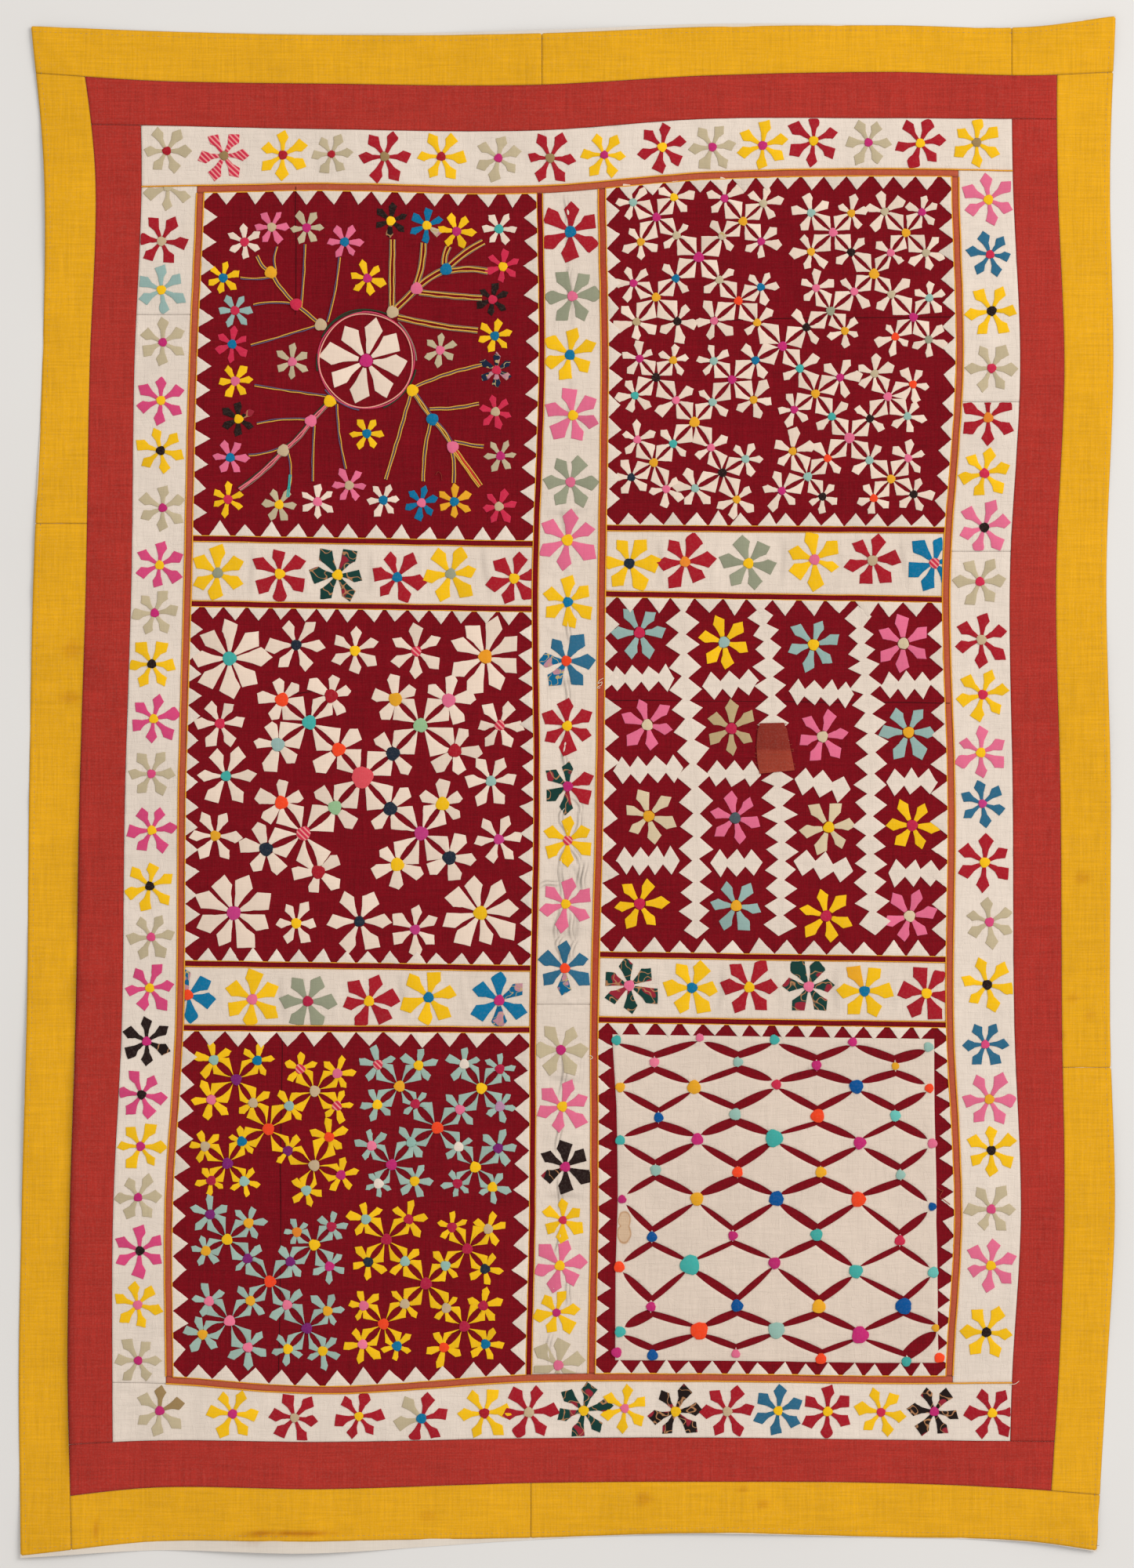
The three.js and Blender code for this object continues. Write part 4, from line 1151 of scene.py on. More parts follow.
def place_on_panel(lines, x, y):
    """Millimetres right of and above a panel's lower left corner, for a place on the face."""
    left, right, lower, upper = lines
    width, height = size_of(lines)
    return (x - left(y)) / (right(y) - left(y)) * width, (y - lower(x)) / (upper(x) - lower(x)) * height


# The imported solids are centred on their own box, so the face is moved by the same amount
corner = crossing(up["rightEdge"], backing_top)
MOVE_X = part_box("backing")[1][0] / MM - float(corner[0])
MOVE_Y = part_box("backing")[1][1] / MM - float(corner[1])


# Relief of the cloth

LATTICE = RANDOM.random((LATTICE_SIZE, LATTICE_SIZE))


def noise(x, y, wide, tall, layer):
    """Smooth uneven values from -1 to 1, with swells of about the given width and height."""
    u = x / wide + LAYER_STEP[0] * layer
    v = y / tall + LAYER_STEP[1] * layer
    i = np.floor(u).astype(int)
    j = np.floor(v).astype(int)
    a = u - i
    b = v - j
    a = a * a * (3 - 2 * a)
    b = b * b * (3 - 2 * b)
    i, next_i = i % LATTICE_SIZE, (i + 1) % LATTICE_SIZE
    j, next_j = j % LATTICE_SIZE, (j + 1) % LATTICE_SIZE
    low = LATTICE[i, j] * (1 - a) + LATTICE[next_i, j] * a
    high = LATTICE[i, next_j] * (1 - a) + LATTICE[next_i, next_j] * a
    return 2 * (low * (1 - b) + high * b) - 1


def uneven(x, y, rows):
    """Unevenness of several sizes, added up."""
    return sum(height * noise(x, y, wide, tall, layer) for height, wide, tall, layer in rows)


def bell(distance):
    return np.where(np.abs(distance) < 1, 0.5 + 0.5 * np.cos(np.pi * np.clip(distance, -1, 1)), 0)


def lift(x, y):
    """Low ripples of the outer borders, as in the solids."""
    inward = {
        "left": x - up["leftEdge"](y),
        "right": up["rightEdge"](y) - x,
        "bottom": y - across["bottomEdge"](x),
        "top": across["topEdge"](x) - y,
    }
    height = np.zeros_like(x)
    for side, at, spread, rise in RIPPLES:
        along = y if side in ("left", "right") else x
        height += rise * bell((along - at) / spread) * bell(inward[side] / RIPPLE_REACH)
    return height


def runs_near(x, y, rows):
    """For every run: which places are near it, how far beside it in half widths, its fading and rise."""
    for x0, y0, x1, y1, half, rise in rows:
        ax, ay = on_face(x0, y0)
        bx, by = on_face(x1, y1)
        length = math.hypot(bx - ax, by - ay)
        dx, dy = (bx - ax) / length, (by - ay) / length
        reach = length / 2 + RUN_MARGIN
        near = (np.abs(x - (ax + bx) / 2) < reach) & (np.abs(y - (ay + by) / 2) < reach)
        px, py = x[near] - ax, y[near] - ay
        along = (px * dx + py * dy) / length
        bend = RUN_BEND * np.sin(along * RUN_WAVES + x0)
        off = (py * dx - px * dy + bend) / (half * FACE_UNIT)
        yield near, off, np.clip(4 * along * (1 - along), 0, 1), rise


def folds(x, y, rows):
    """Soft troughs and ridges along straight runs that fade at both ends."""
    height = np.zeros_like(x)
    for near, off, fade, rise in runs_near(x, y, rows):
        height[near] += rise * np.exp(-off * off) * fade
    return height


def pleat_painted_shade(x, y):
    """Painted shade: dark lines along the troughs of the gathers and both feet of the standing pleats."""
    shade = np.ones_like(x)
    for near, off, fade, rise in runs_near(x, y, GATHERS):
        if rise < 0:
            shade[near] *= 1 - GATHER_PAINTED_SHADE * fade * np.exp(-off * off)
    foot, wide = PLEAT_FOOT
    for near, off, fade, _ in runs_near(x, y, STANDING_PLEATS):
        shade[near] *= 1 - PLEAT_PAINTED_SHADE * fade * np.exp(-(((np.abs(off) - foot) / wide) ** 2))
    return shade


def inside(lines, x, y):
    left, right, lower, upper = lines
    return (x > left(y)) & (x < right(y)) & (y > lower(x)) & (y < upper(x))


def relief(x, y):
    """Unevenness of the sewn cloth: puckered flower strips, nearly flat panels, slow swells in borders."""
    panel = np.zeros(x.shape, bool)
    for lines in PANELS.values():
        panel |= inside(lines, x, y)
    strip = inside(named_seams("leftRed rightRed bottomRed topRed"), x, y) & ~panel
    swell = uneven(x, y, SWELLS)
    ruffle = uneven(x, y, RUFFLES)
    in_panel = PANEL_SWELL * swell + PANEL_RUFFLE * ruffle
    in_border = BORDER_SWELL * swell + ruffle
    in_strip = STRIP_SWELL * swell + uneven(x, y, PUCKERS)
    height = np.where(strip, in_strip, np.where(panel, in_panel, in_border))
    return height + folds(x, y, CREASES) + folds(x, y, GATHERS) + folds(x, y, STANDING_PLEATS)


def ground(x, y):
    return TOP_LEVEL + lift(x, y) + relief(x, y)


# Mesh and piece helpers

def to_frame(x, y, z):
    return np.stack([(x + MOVE_X) * MM, (y + MOVE_Y) * MM, z * MM], axis=-1)


def new_piece(name, points, faces, tints, materials, slots=None):
    """A shown piece with a tint on every point, riding on the one body."""
    mesh = bpy.data.meshes.new(name)
    mesh.from_pydata(points.tolist(), [], faces)
    colours = np.ones((len(points), 4))
    colours[:, :3] = tints
    mesh.color_attributes.new("tint", "FLOAT_COLOR", "POINT").data.foreach_set("color", colours.ravel())
    for material in materials:
        mesh.materials.append(material)
    if slots is not None:
        mesh.polygons.foreach_set("material_index", slots)
    mesh.shade_smooth()
    piece = bpy.data.objects.new(name, mesh)
    bpy.context.collection.objects.link(piece)
    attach(piece, "root")
    return piece


def away_from(x, y, spot):
    """How far places are from a spot on the face chart, in its half sizes."""
    sx, sy, wide, tall = spot
    cx, cy = on_face(sx, sy)
    return np.hypot((x - cx) / (wide * FACE_UNIT), (y - cy) / (tall * FACE_UNIT))


def stains_and_painted_shade(x, y, colour):
    """The cloth's colour with slow fading, the stains of use, and the painted shade in the folds of the hem
    at the lower left.
    """
    tint = np.ones((len(x), 3)) * colour
    tint *= (1 + uneven(x, y, FADING))[:, None]
    edge = 1 + uneven(x, y, SPOT_EDGE)
    for *spot, strength, kind in STAINS_AND_PAINTED_SHADE:
        away = away_from(x, y, spot) * edge
        part = strength * np.clip(1.4 * np.exp(-away * away) - 0.1, 0, 1)
        tint *= 1 - part[:, None] * (1 - np.array(STAIN_AND_SHADE_COLOURS[kind]))
    return tint


def marked(x, y):
    """Shade of the water mark: an even tan with a darker outline round both lobes."""
    away = np.minimum.reduce([away_from(x, y, spot) for spot in WATER_MARKS])
    away *= 1 + uneven(x, y, MARK_EDGE)
    filled = np.clip((1.04 - away) / MARK_LINE, 0, 1)[:, None]
    outline = np.exp(-(((away - 1) / MARK_LINE) ** 2))[:, None]
    return (1 - filled * (1 - np.array(MARK_SHADE))) * (1 - outline * (1 - np.array(MARK_OUTLINE)))


def bled(x, y):
    """Shade of the dark dye that bled along the lower part of the left red seam."""
    off = (x - up["leftYellow"](y)) / (BLEED_WIDTH + uneven(x, y, BLEED_EDGE))
    from_top = np.clip((BLEED_TOP - y) / BLEED_TOP_FADE, 0, 1)
    from_bottom = np.clip((y - BLEED_BOTTOM) / BLEED_BOTTOM_FADE, 0, 1)
    return 1 - BLEED_SHADE * from_top * from_bottom * np.exp(-off * off)


# Materials

def new_material(name):
    material = bpy.data.materials.new(name)
    material.use_nodes = True
    return material, material.node_tree, material.node_tree.nodes["Principled BSDF"]


def add_node(tree, kind, values=None, links=None, **settings):
    node = tree.nodes.new(kind)
    for key, value in settings.items():
        setattr(node, key, value)
    for key, value in (values or {}).items():
        node.inputs[key].default_value = value
    for key, socket in (links or {}).items():
        tree.links.new(socket, node.inputs[key])
    return node


def tint_of(tree):
    return add_node(tree, "ShaderNodeAttribute", attribute_name="tint").outputs["Color"]


def place_of(tree):
    return add_node(tree, "ShaderNodeTexCoord").outputs["Object"]


def specks(tree, place, scale, detail):
    node = add_node(tree, "ShaderNodeTexNoise", {"Scale": scale, "Detail": detail}, {"Vector": place})
    return node.outputs["Fac"]


def ranged(tree, value, low, high, to_low=0.0, to_high=1.0):
    """A value between low and high, turned into one between two others."""
    limits = {"From Min": low, "From Max": high, "To Min": to_low, "To Max": to_high}
    return add_node(tree, "ShaderNodeMapRange", limits, {"Value": value}).outputs["Result"]


def threads(tree, place, stretch, detail):
    """Uneven streaks along one thread direction."""
    mapping = add_node(tree, "ShaderNodeMapping", {"Scale": stretch}, {"Vector": place})
    values = {"Scale": 1.0, "Detail": detail, "Roughness": 0.65}
    streaks = add_node(tree, "ShaderNodeTexNoise", values, {"Vector": mapping.outputs["Vector"]})
    return streaks.outputs["Fac"]


def math_node(tree, operation, first, second):
    node = add_node(tree, "ShaderNodeMath", operation=operation)
    for i, value in enumerate((first, second)):
        if isinstance(value, (int, float)):
            node.inputs[i].default_value = value
        else:
            tree.links.new(value, node.inputs[i])
    return node.outputs["Value"]


def from_middle(tree, value):
    """How far a noise is from its middle value."""
    return math_node(tree, "ABSOLUTE", math_node(tree, "SUBTRACT", value, 0.5), 0)


def weave(tree, coarse):
    """Height of a plain weave: threads about as thick as coarse, in millimetres, and slubs among them."""
    place = place_of(tree)
    fine = 1000 / coarse
    height = None
    for across_thread, along_thread, share in ((fine, fine / 24, 0.36), (fine / 3.2, fine / 90, 0.14)):
        warp = (across_thread, along_thread, along_thread)
        weft = (along_thread, across_thread, along_thread)
        for stretch in (warp, weft):
            part = math_node(tree, "MULTIPLY", threads(tree, place, stretch, 3), share)
            height = part if height is None else math_node(tree, "ADD", height, part)
    return place, height


def crumpled(tree, place, height, depth):
    """A height with the short fine creases of washed cloth pressed into it, along and across the cloth."""
    for stretch in ((95.0, 26.0, 26.0), (26.0, 95.0, 26.0)):
        off = from_middle(tree, threads(tree, place, stretch, 1))
        height = math_node(tree, "SUBTRACT", height, ranged(tree, off, 0.0, 0.022, depth, 0.0))
    return height


def scaled(tree, colour, low, high, height, spread):
    """A colour made darker and lighter by a height."""
    links = {0: colour, "Scale": ranged(tree, height, 0.5 - spread, 0.5 + spread, low, high)}
    return add_node(tree, "ShaderNodeVectorMath", None, links, operation="SCALE").outputs["Vector"]


def mixed(tree, share, first, second):
    """A plain colour laid over the colour of a socket by a share."""
    node = add_node(tree, "ShaderNodeMix", data_type="RGBA")
    tree.links.new(share, node.inputs[0])
    tree.links.new(first, node.inputs[6])
    node.inputs[7].default_value = second
    return node.outputs[2]


def finish_cloth(tree, shader, colour, height, bump):
    lumps = add_node(tree, "ShaderNodeBump", {"Strength": bump, "Distance": 0.0006}, {"Height": height})
    tree.links.new(colour, shader.inputs["Base Color"])
    tree.links.new(lumps.outputs["Normal"], shader.inputs["Normal"])
    shader.inputs["Roughness"].default_value = 0.95
    shader.inputs["Specular IOR Level"].default_value = 0.08
    shader.inputs["Sheen Weight"].default_value = 0.03
    shader.inputs["Sheen Roughness"].default_value = 0.6


def cotton(name, coarse, contrast, bump=0.5, lint=0.04, creases=0.12):
    """Plain woven cotton in the piece's own tint, with a little pale lint on its raised threads."""
    material, tree, shader = new_material(name)
    place, height = weave(tree, coarse)
    colour = scaled(tree, tint_of(tree), 1 - contrast, 1 + contrast, height, WEAVE_SPREAD)
    share = ranged(tree, specks(tree, place, 420.0, 2.0), 0.45, 0.8, 0.0, lint)
    colour = mixed(tree, share, colour, LINT_COLOUR)
    finish_cloth(tree, shader, colour, crumpled(tree, place, height, creases), bump)
    return material


def finish_print(tree, shader, colour, height):
    colour = scaled(tree, colour, 1 - PRINT_CONTRAST, 1 + PRINT_CONTRAST, height, WEAVE_SPREAD)
    finish_cloth(tree, shader, colour, height, PRINT_BUMP)


def striped_cotton(name, stripe):
    """Cotton with pale stripes woven into its tint."""
    material, tree, shader = new_material(name)
    place, height = weave(tree, PRINT_THREAD)
    tint = tint_of(tree)
    bands = add_node(
        tree, "ShaderNodeTexWave", {"Scale": 85.0, "Distortion": 0.4, "Detail": 1.0}, {"Vector": place},
        wave_type="BANDS", bands_direction="DIAGONAL",
    )
    stripes = ranged(tree, bands.outputs["Fac"], 0.55, 0.8)
    finish_print(tree, shader, mixed(tree, stripes, tint, stripe), height)
    return material


def sprigged_cotton(name, patch, curl, grain):
    """Cotton printed with patches and thin curls of two colours on its tint."""
    material, tree, shader = new_material(name)
    place, height = weave(tree, PRINT_THREAD)
    patches = ranged(tree, specks(tree, place, grain, 1.0), 0.59, 0.62)
    colour = mixed(tree, patches, tint_of(tree), patch)
    off = from_middle(tree, specks(tree, place, 2 * grain, 0.5))
    colour = mixed(tree, ranged(tree, off, 0.012, 0.03, 1.0, 0.0), colour, curl)
    finish_print(tree, shader, colour, height)
    return material


def yarn_material():
    material, tree, shader = new_material("couched_yarn")
    fibres = specks(tree, place_of(tree), 900.0, 2.0)
    finish_cloth(tree, shader, scaled(tree, tint_of(tree), 0.75, 1.25, fibres, 0.3), fibres, 0.6)
    return material


def floor_material():
    material, tree, shader = new_material("plain_floor")
    grain = specks(tree, place_of(tree), 3.0, 3.0)
    tones = add_node(tree, "ShaderNodeValToRGB", None, {"Fac": grain})
    for element, tone in zip(tones.color_ramp.elements, FLOOR_TONES):
        element.color = tone
    tree.links.new(tones.outputs["Color"], shader.inputs["Base Color"])
    shader.inputs["Roughness"].default_value = 0.9
    return material


MATERIALS = {slot: cotton(slot, *look) for slot, look in COTTONS.items()}
PETAL_CLOTHS = [
    cotton("petal_cotton", 1.3, 0.07),
    striped_cotton("striped_cotton", (0.80, 0.30, 0.28, 1)),
    sprigged_cotton("sprigged_cotton", (0.3, 0.02, 0.035, 1), (0.42, 0.2, 0.09, 1), 38.0),
    sprigged_cotton("flecked_cotton", (0.5, 0.24, 0.28, 1), (0.5, 0.38, 0.16, 1), 60.0),
]
YARN = yarn_material()


# Cloth sheets

def steps_along(length, pitch):
    """Places of the grid lines from edge to edge, closer together by the edges."""
    near = [step for step in EDGE_STEPS if step < length / 2 - 1]
    inner = length - 2 * near[-1]
    count = max(2, round(inner / pitch))
    between = [near[-1] + inner * i / count for i in range(1, count)]
    return np.array(near + between + [length - step for step in reversed(near)])


def edge_dip(distance, depth, soft):
    return depth * np.exp(-((distance / soft) ** 2))


def grid_faces(wide, tall):
    faces = []
    for j in range(tall - 1):
        for i in range(wide - 1):
            a = j * wide + i
            faces.append((a, a + 1, a + wide + 1, a + wide))
    return faces


def sheet_grid(lines, pitch):
    """A grid between four lines: its places, their distances to the four sides, its size and its faces."""
    width, height = size_of(lines)
    run = steps_along(width, pitch)
    rise = steps_along(height, pitch)
    s, t = (a.ravel() for a in np.meshgrid(run / width, rise / height))
    x, y = grid_on(lines, s, t)
    distances = (s * width, (1 - s) * width, t * height, (1 - t) * height)
    return x, y, distances, width, height, grid_faces(len(run), len(rise))


def cloth_sheet(name, lines, hems):
    """One cut length of the face between four lines. Its seam edges dip and its hem edges fold down."""
    colour, slot, pitch = CLOTHS.get(name) or CLOTHS[name.split("_")[0]]
    insets = (SEAM_INSET, -SEAM_INSET, SEAM_INSET, -SEAM_INSET)
    drawn = [shifted(line, inset) for line, inset in zip(lines, insets)]
    x, y, distances, width, height, faces = sheet_grid(drawn, pitch)
    z = ground(x, y)
    # Painted shade of the pleats and gathers, and the dye that bled by the left red seam
    tints = stains_and_painted_shade(x, y, linear(colour)) * (bled(x, y) * pleat_painted_shade(x, y))[:, None]
    # Painted shade along every seam and hem edge of the sheet, lighter on ivory
    dark = IVORY_SEAM_PAINTED_SHADE if slot == "ivory_cotton" else SEAM_PAINTED_SHADE
    for distance, hem in zip(distances, hems):
        if hem:
            z -= edge_dip(distance, *HEM_DIP) + edge_dip(distance - HEM_INSET, *HEM_TROUGH)
        else:
            z -= edge_dip(distance, *SEAM_DIP)
        tints *= 1 - edge_dip(distance, dark, SEAM_PAINTED_SHADE_WIDTH)[:, None]
    piece = new_piece(f"cloth_{name}", to_frame(x, y, z), faces, tints, [MATERIALS[slot]])
    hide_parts(name)
    return piece, width * MM, height * MM


def face_lengths():
    """Every pieced length of the face: name, its four lines, and on which of them it has a hem."""
    for name, sides in FACE_LENGTHS.items():
        yield name, named_seams(sides), [side.endswith("Edge") for side in sides.split()]
    no_hems = [False] * 4
    for name, (upper, lower) in strips.items():
        sides = half_of(name)
        yield f"cross_{name}", (*sides, lower, upper), no_hems
        yield f"maroon_{name}_above", (*sides, upper, above(name)), no_hems
        yield f"maroon_{name}_below", (*sides, below(name), lower), no_hems
    for name, lines in PANELS.items():
        yield f"panel_{name}", lines, no_hems


def make_backing():
    lines = (up["leftEdge"], up["rightEdge"], backing_bottom, backing_top)
    x, y, _, width, height, faces = sheet_grid(lines, BACKING_PITCH)
    points = to_frame(x, y, BACKING_LEVEL + lift(x, y))
    tints = stains_and_painted_shade(x, y, linear("backing"))
    piece = new_piece("cloth_backing", points, faces, tints, [MATERIALS["backing_cotton"]])
    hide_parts("backing")
    return piece, (width * MM, height * MM)


# Sewn-on patches: a rim on the ground, two rings that round the turned edge, and a middle point

def rim_of(corners, counts):
    """Points round a polygon, with the given number of steps on each side."""
    points = []
    for i, count in enumerate(counts):
        start = np.array(corners[i], float)
        end = np.array(corners[(i + 1) % len(corners)], float)
        for k in range(count):
            points.append(start + (end - start) * k / count)
    return np.array(points)


def clipped(rim, low, high):
    """The part of a rim inside a box, with the same number of points, or nothing where little is left."""
    points = [tuple(p) for p in rim]
    for axis, limit, sign in ((0, low[0], 1), (0, high[0], -1), (1, low[1], 1), (1, high[1], -1)):
        kept = []
        for a, b in zip(points, points[1:] + points[:1]):
            inner = sign * (a[axis] - limit)
            outer = sign * (b[axis] - limit)
            if inner >= 0:
                kept.append(a)
            if inner * outer < 0:
                share = inner / (inner - outer)
                kept.append((a[0] + (b[0] - a[0]) * share, a[1] + (b[1] - a[1]) * share))
        points = kept
    if len(points) < 3:
        return None
    if ((rim >= low) & (rim <= high)).all():
        return rim
    loop = np.array(points + points[:1])
    lengths = np.append(0, np.cumsum(np.linalg.norm(np.diff(loop, axis=0), axis=1)))
    if lengths[-1] < LEAST_RIM:
        return None
    stops = np.linspace(0, lengths[-1], RIM_POINTS, endpoint=False)
    return np.stack([np.interp(stops, lengths, loop[:, axis]) for axis in (0, 1)], axis=1)


def middles_of(rims):
    """Centres of area of many rims, and their areas."""
    ahead = np.roll(rims, -1, axis=1)
    cross = rims[..., 0] * ahead[..., 1] - ahead[..., 0] * rims[..., 1]
    area = cross.sum(axis=1) / 2
    middle = ((rims + ahead) * cross[..., None]).sum(axis=1) / (6 * area[:, None])
    return middle[:, None, :], np.abs(area)


def patch_faces(count, kinds):
    """Faces of so many patches of two rings and a fan each, and the cloth of every face."""
    faces = []
    slots = []
    size = 3 * RIM_POINTS + 1
    for k in range(count):
        base = k * size
        for i in range(RIM_POINTS):
            j = (i + 1) % RIM_POINTS
            for ring in (base, base + RIM_POINTS):
                faces.append((ring + i, ring + j, ring + j + RIM_POINTS, ring + i + RIM_POINTS))
            inner = base + 2 * RIM_POINTS
            faces.append((inner + i, inner + j, base + size - 1))
            slots += [kinds[k]] * 3
    return faces, np.array(slots)


class Patches:
    """Patches of one piece, collected and then made into one mesh."""

    def __init__(self):
        self.rims = []
        self.colours = []
        self.rises = []

    def add(self, rim, colour, rise=PETAL_RISE, rough=CUT_ROUGHNESS):
        self.rims.append(rim + RANDOM.normal(0, rough, rim.shape))
        self.colours.append(colour)
        self.rises.append(rise + RANDOM.uniform(0, RISE_SPREAD))

    def area(self):
        return float(middles_of(np.array(self.rims))[1].sum()) * MM * MM

    def make(self, name, materials=PETAL_CLOTHS):
        rims = np.array(self.rims)
        middle = middles_of(rims)[0]
        inward = middle - rims
        reach = np.linalg.norm(inward, axis=2, keepdims=True)
        inward /= np.maximum(reach, 1e-6)
        rings = [rims + inward * np.minimum(far, share * reach) for far, share, _, _ in PATCH_RINGS]
        flat = np.concatenate([*rings, middle], axis=1)
        x, y = flat[..., 0].ravel(), flat[..., 1].ravel()
        # The last column of the rings is painted shade, darker on the rim
        rises, shades = (
            np.append(np.repeat([row[column] for row in PATCH_RINGS], RIM_POINTS), 1.0) for column in (2, 3)
        )
        z = ground(x, y) + (np.array(self.rises)[:, None] * rises).ravel() + uneven(x, y, PATCH_WRINKLES)
        tones = np.array([linear(c) for c in self.colours]) * RANDOM.normal(1, TONE_SPREAD, (len(rims), 1))
        tints = (tones[:, None, :] * shades[None, :, None]).reshape(-1, 3)
        faces, kinds = patch_faces(len(rims), [PRINTS.get(colour, 0) for colour in self.colours])
        slots = kinds if len(materials) > 1 else None
        return new_piece(name, to_frame(x, y, z), faces, tints, materials, slots)


class Flowers:
    """Petals and round middles of one cloth."""

    def __init__(self):
        self.petals = Patches()
        self.middles = Patches()

    def make(self, name):
        return [self.petals.make(f"petals_{name}"), self.middles.make(f"middles_{name}")]


def turned(points, angle, centre):
    c, s = math.cos(angle), math.sin(angle)
    x = points[:, 0] * c - points[:, 1] * s + centre[0]
    y = points[:, 0] * s + points[:, 1] * c + centre[1]
    return np.stack([x, y], axis=1)


def kite(radius, shape, lean):
    """A petal along +X: narrow at the root, widest near its end, with a blunt tip that leans to one side."""
    root, neck, waist, half, widest = shape
    tip = (1 - 0.06 * abs(lean), 0.85 * lean * half)
    corners = np.array([
        (root, -neck), (KITE_WAIST, -waist), (widest + 0.1 * lean, -half), tip,
        (widest - 0.1 * lean, half), (KITE_WAIST, waist), (root, neck),
    ])
    return rim_of(corners * radius, [3, 3, 3, 3, 3, 3, 2])


def add_rim(patches, rim, box, *look):
    """Adds a rim, or what is left of it inside a box."""
    if box is not None:
        rim = clipped(rim, *box)
    if rim is not None:
        patches.add(rim, *look)


def add_petal(petals, centre, angle, radius, kind, colour, box=None):
    root, neck, waist, half, widest = PETALS[kind]
    broad = RANDOM.normal(1, PETAL_BREADTH_SPREAD)
    shape = (root, neck, waist * broad, half * broad, widest)
    long = radius * RANDOM.normal(1, PETAL_LENGTH_SPREAD)
    rim = turned(kite(long, shape, RANDOM.uniform(-PETAL_LEAN, PETAL_LEAN)), angle, centre)
    add_rim(petals, rim, box, colour)


def add_dot(dots, centre, radius, colour, rise=MIDDLE_RISE, box=None):
    angles = np.arange(RIM_POINTS) * 2 * math.pi / RIM_POINTS
    lobes = 0.06 * np.sin(3 * angles + RANDOM.uniform(0, 6))
    rough = radius * (1 + lobes + RANDOM.normal(0, DOT_SPREAD, RIM_POINTS))
    rim = np.stack([centre[0] + rough * np.cos(angles), centre[1] + rough * np.sin(angles)], axis=1)
    add_rim(dots, rim, box, colour, rise, DOT_ROUGHNESS)


def add_flower(flowers, centre, radius, kind, tilt, colours, middle, petals=6, dot=None, box=None):
    """A round middle and its petals, clockwise from the first. The last colour listed is for the rest."""
    names = colours.split("+")
    for i in range(petals):
        turn = 90 - tilt - 360 * i / petals + RANDOM.normal(0, PETAL_TURN_SPREAD)
        colour = names[min(i, len(names) - 1)]
        add_petal(flowers.petals, centre, math.radians(turn), radius, kind, colour, box)
    add_dot(flowers.middles, centre, dot or radius * MIDDLE_SHARES[kind], middle, box=box)


def add_link(petals, hub, satellite, colour, panel):
    """Two half petals between two middles, either side of a slit."""
    corner, root, shoulder, slit = LINKS[panel]
    hub = np.array(hub)
    line = np.array(satellite) - hub
    side = np.array([-line[1], line[0]])
    shares = np.arange(10) / 10
    for sign in (1, -1):
        tip = (corner[0] + RANDOM.normal(0, LINK_SPREAD), corner[1] + RANDOM.normal(0, LINK_SPREAD))
        rim = rim_of([(0.10, 0.008), root, tip, shoulder, (0.90, 0.015)], [1, 4, 4, 1, 10])
        rim[10:, 1] += slit * RANDOM.normal(1, SLIT_SPREAD) * np.sin(math.pi * shares ** 0.85) ** 0.7
        rim = rim[::-sign]
        petals.add(hub + line * rim[:, :1] + side * sign * rim[:, 1:], colour)


def free_angles(directions):
    """Directions for the free petals of a satellite, spread over what its links leave."""
    directions = sorted(d % (2 * math.pi) for d in directions)
    angles = []
    for i, start in enumerate(directions):
        end = directions[(i + 1) % len(directions)]
        gap = (end - start) % (2 * math.pi) or 2 * math.pi
        free = gap - 2 * LINK_HALF_ANGLE
        count = max(0, math.floor(free / KITE_ANGLE))
        angles += [start + LINK_HALF_ANGLE + free * (k + 0.5) / count for k in range(count)]
    return angles


def add_clusters(flowers, panel, colour, hub, clusters, extra=()):
    """A hub, its clusters, their satellites and all the petals between them."""
    hub_size, cluster_size, satellite_size = CLUSTER_MIDDLES[panel]
    centre = on_panel(panel, *hub[:2])
    add_dot(flowers.middles, centre, hub_size, hub[2])
    for cluster, satellites in clusters:
        middle = on_panel(panel, *cluster[:2])
        add_dot(flowers.middles, middle, cluster_size, cluster[2])
        for i, satellite in enumerate(satellites):
            place = on_panel(panel, *satellite[:2])
            holders = [middle, centre] if i == 0 else [middle]
            for holder in holders:
                add_link(flowers.petals, holder, place, colour, panel)
            holders += [on_panel(panel, *other) for other, held in extra if satellite[:2] in held]
            for angle in free_angles([math.atan2(h[1] - place[1], h[0] - place[0]) for h in holders]):
                reach = FREE_REACH[panel] * RANDOM.normal(1, FREE_SPREAD) * math.dist(middle, place)
                angle += RANDOM.normal(0, FREE_SPREAD)
                add_petal(flowers.petals, place, angle, reach, panel, colour)
            add_dot(flowers.middles, place, satellite_size, satellite[2])


# Flowers of each cloth

def placed(rows, lines, run):
    """Flower rows with their places: as charted, or beside the middle line of a strip down or along."""
    left, right, lower, upper = lines
    for first, second, *flower in rows:
        x, y = on_face(first, second)
        if run == "down":
            y = on_face(0, first)[1]
            x = (value_at(left, y) + value_at(right, y)) / 2 + second
        elif run == "along":
            x = on_face(first, 0)[0]
            y = (value_at(upper, x) + value_at(lower, x)) / 2 + second
        yield x, y, *flower


def strip_flowers(name, lines, rows, run, kind, joins=()):
    """Flowers of one strip, cut off where the seams round them pass over them."""
    flowers = Flowers()
    left, right, lower, upper = lines
    for x, y, tilt, colours, middle, *larger in placed(rows, lines, run):
        bottom = max([value_at(lower, x)] + [join for join in joins if join < y])
        top = min([value_at(upper, x)] + [join for join in joins if join > y])
        low = (value_at(left, y) + SEAM_COVER, bottom + SEAM_COVER)
        high = (value_at(right, y) - SEAM_COVER, top - SEAM_COVER)
        size = STRIP_SIZES.get(name, CROSS_FLOWER) * (larger[0] if larger else 1)
        if kind == "border":
            size *= BORDER_SIZES.get(colours, 1)
        add_flower(flowers, (x, y), size, kind, tilt, colours, middle, box=(low, high))
    return flowers.make(name)


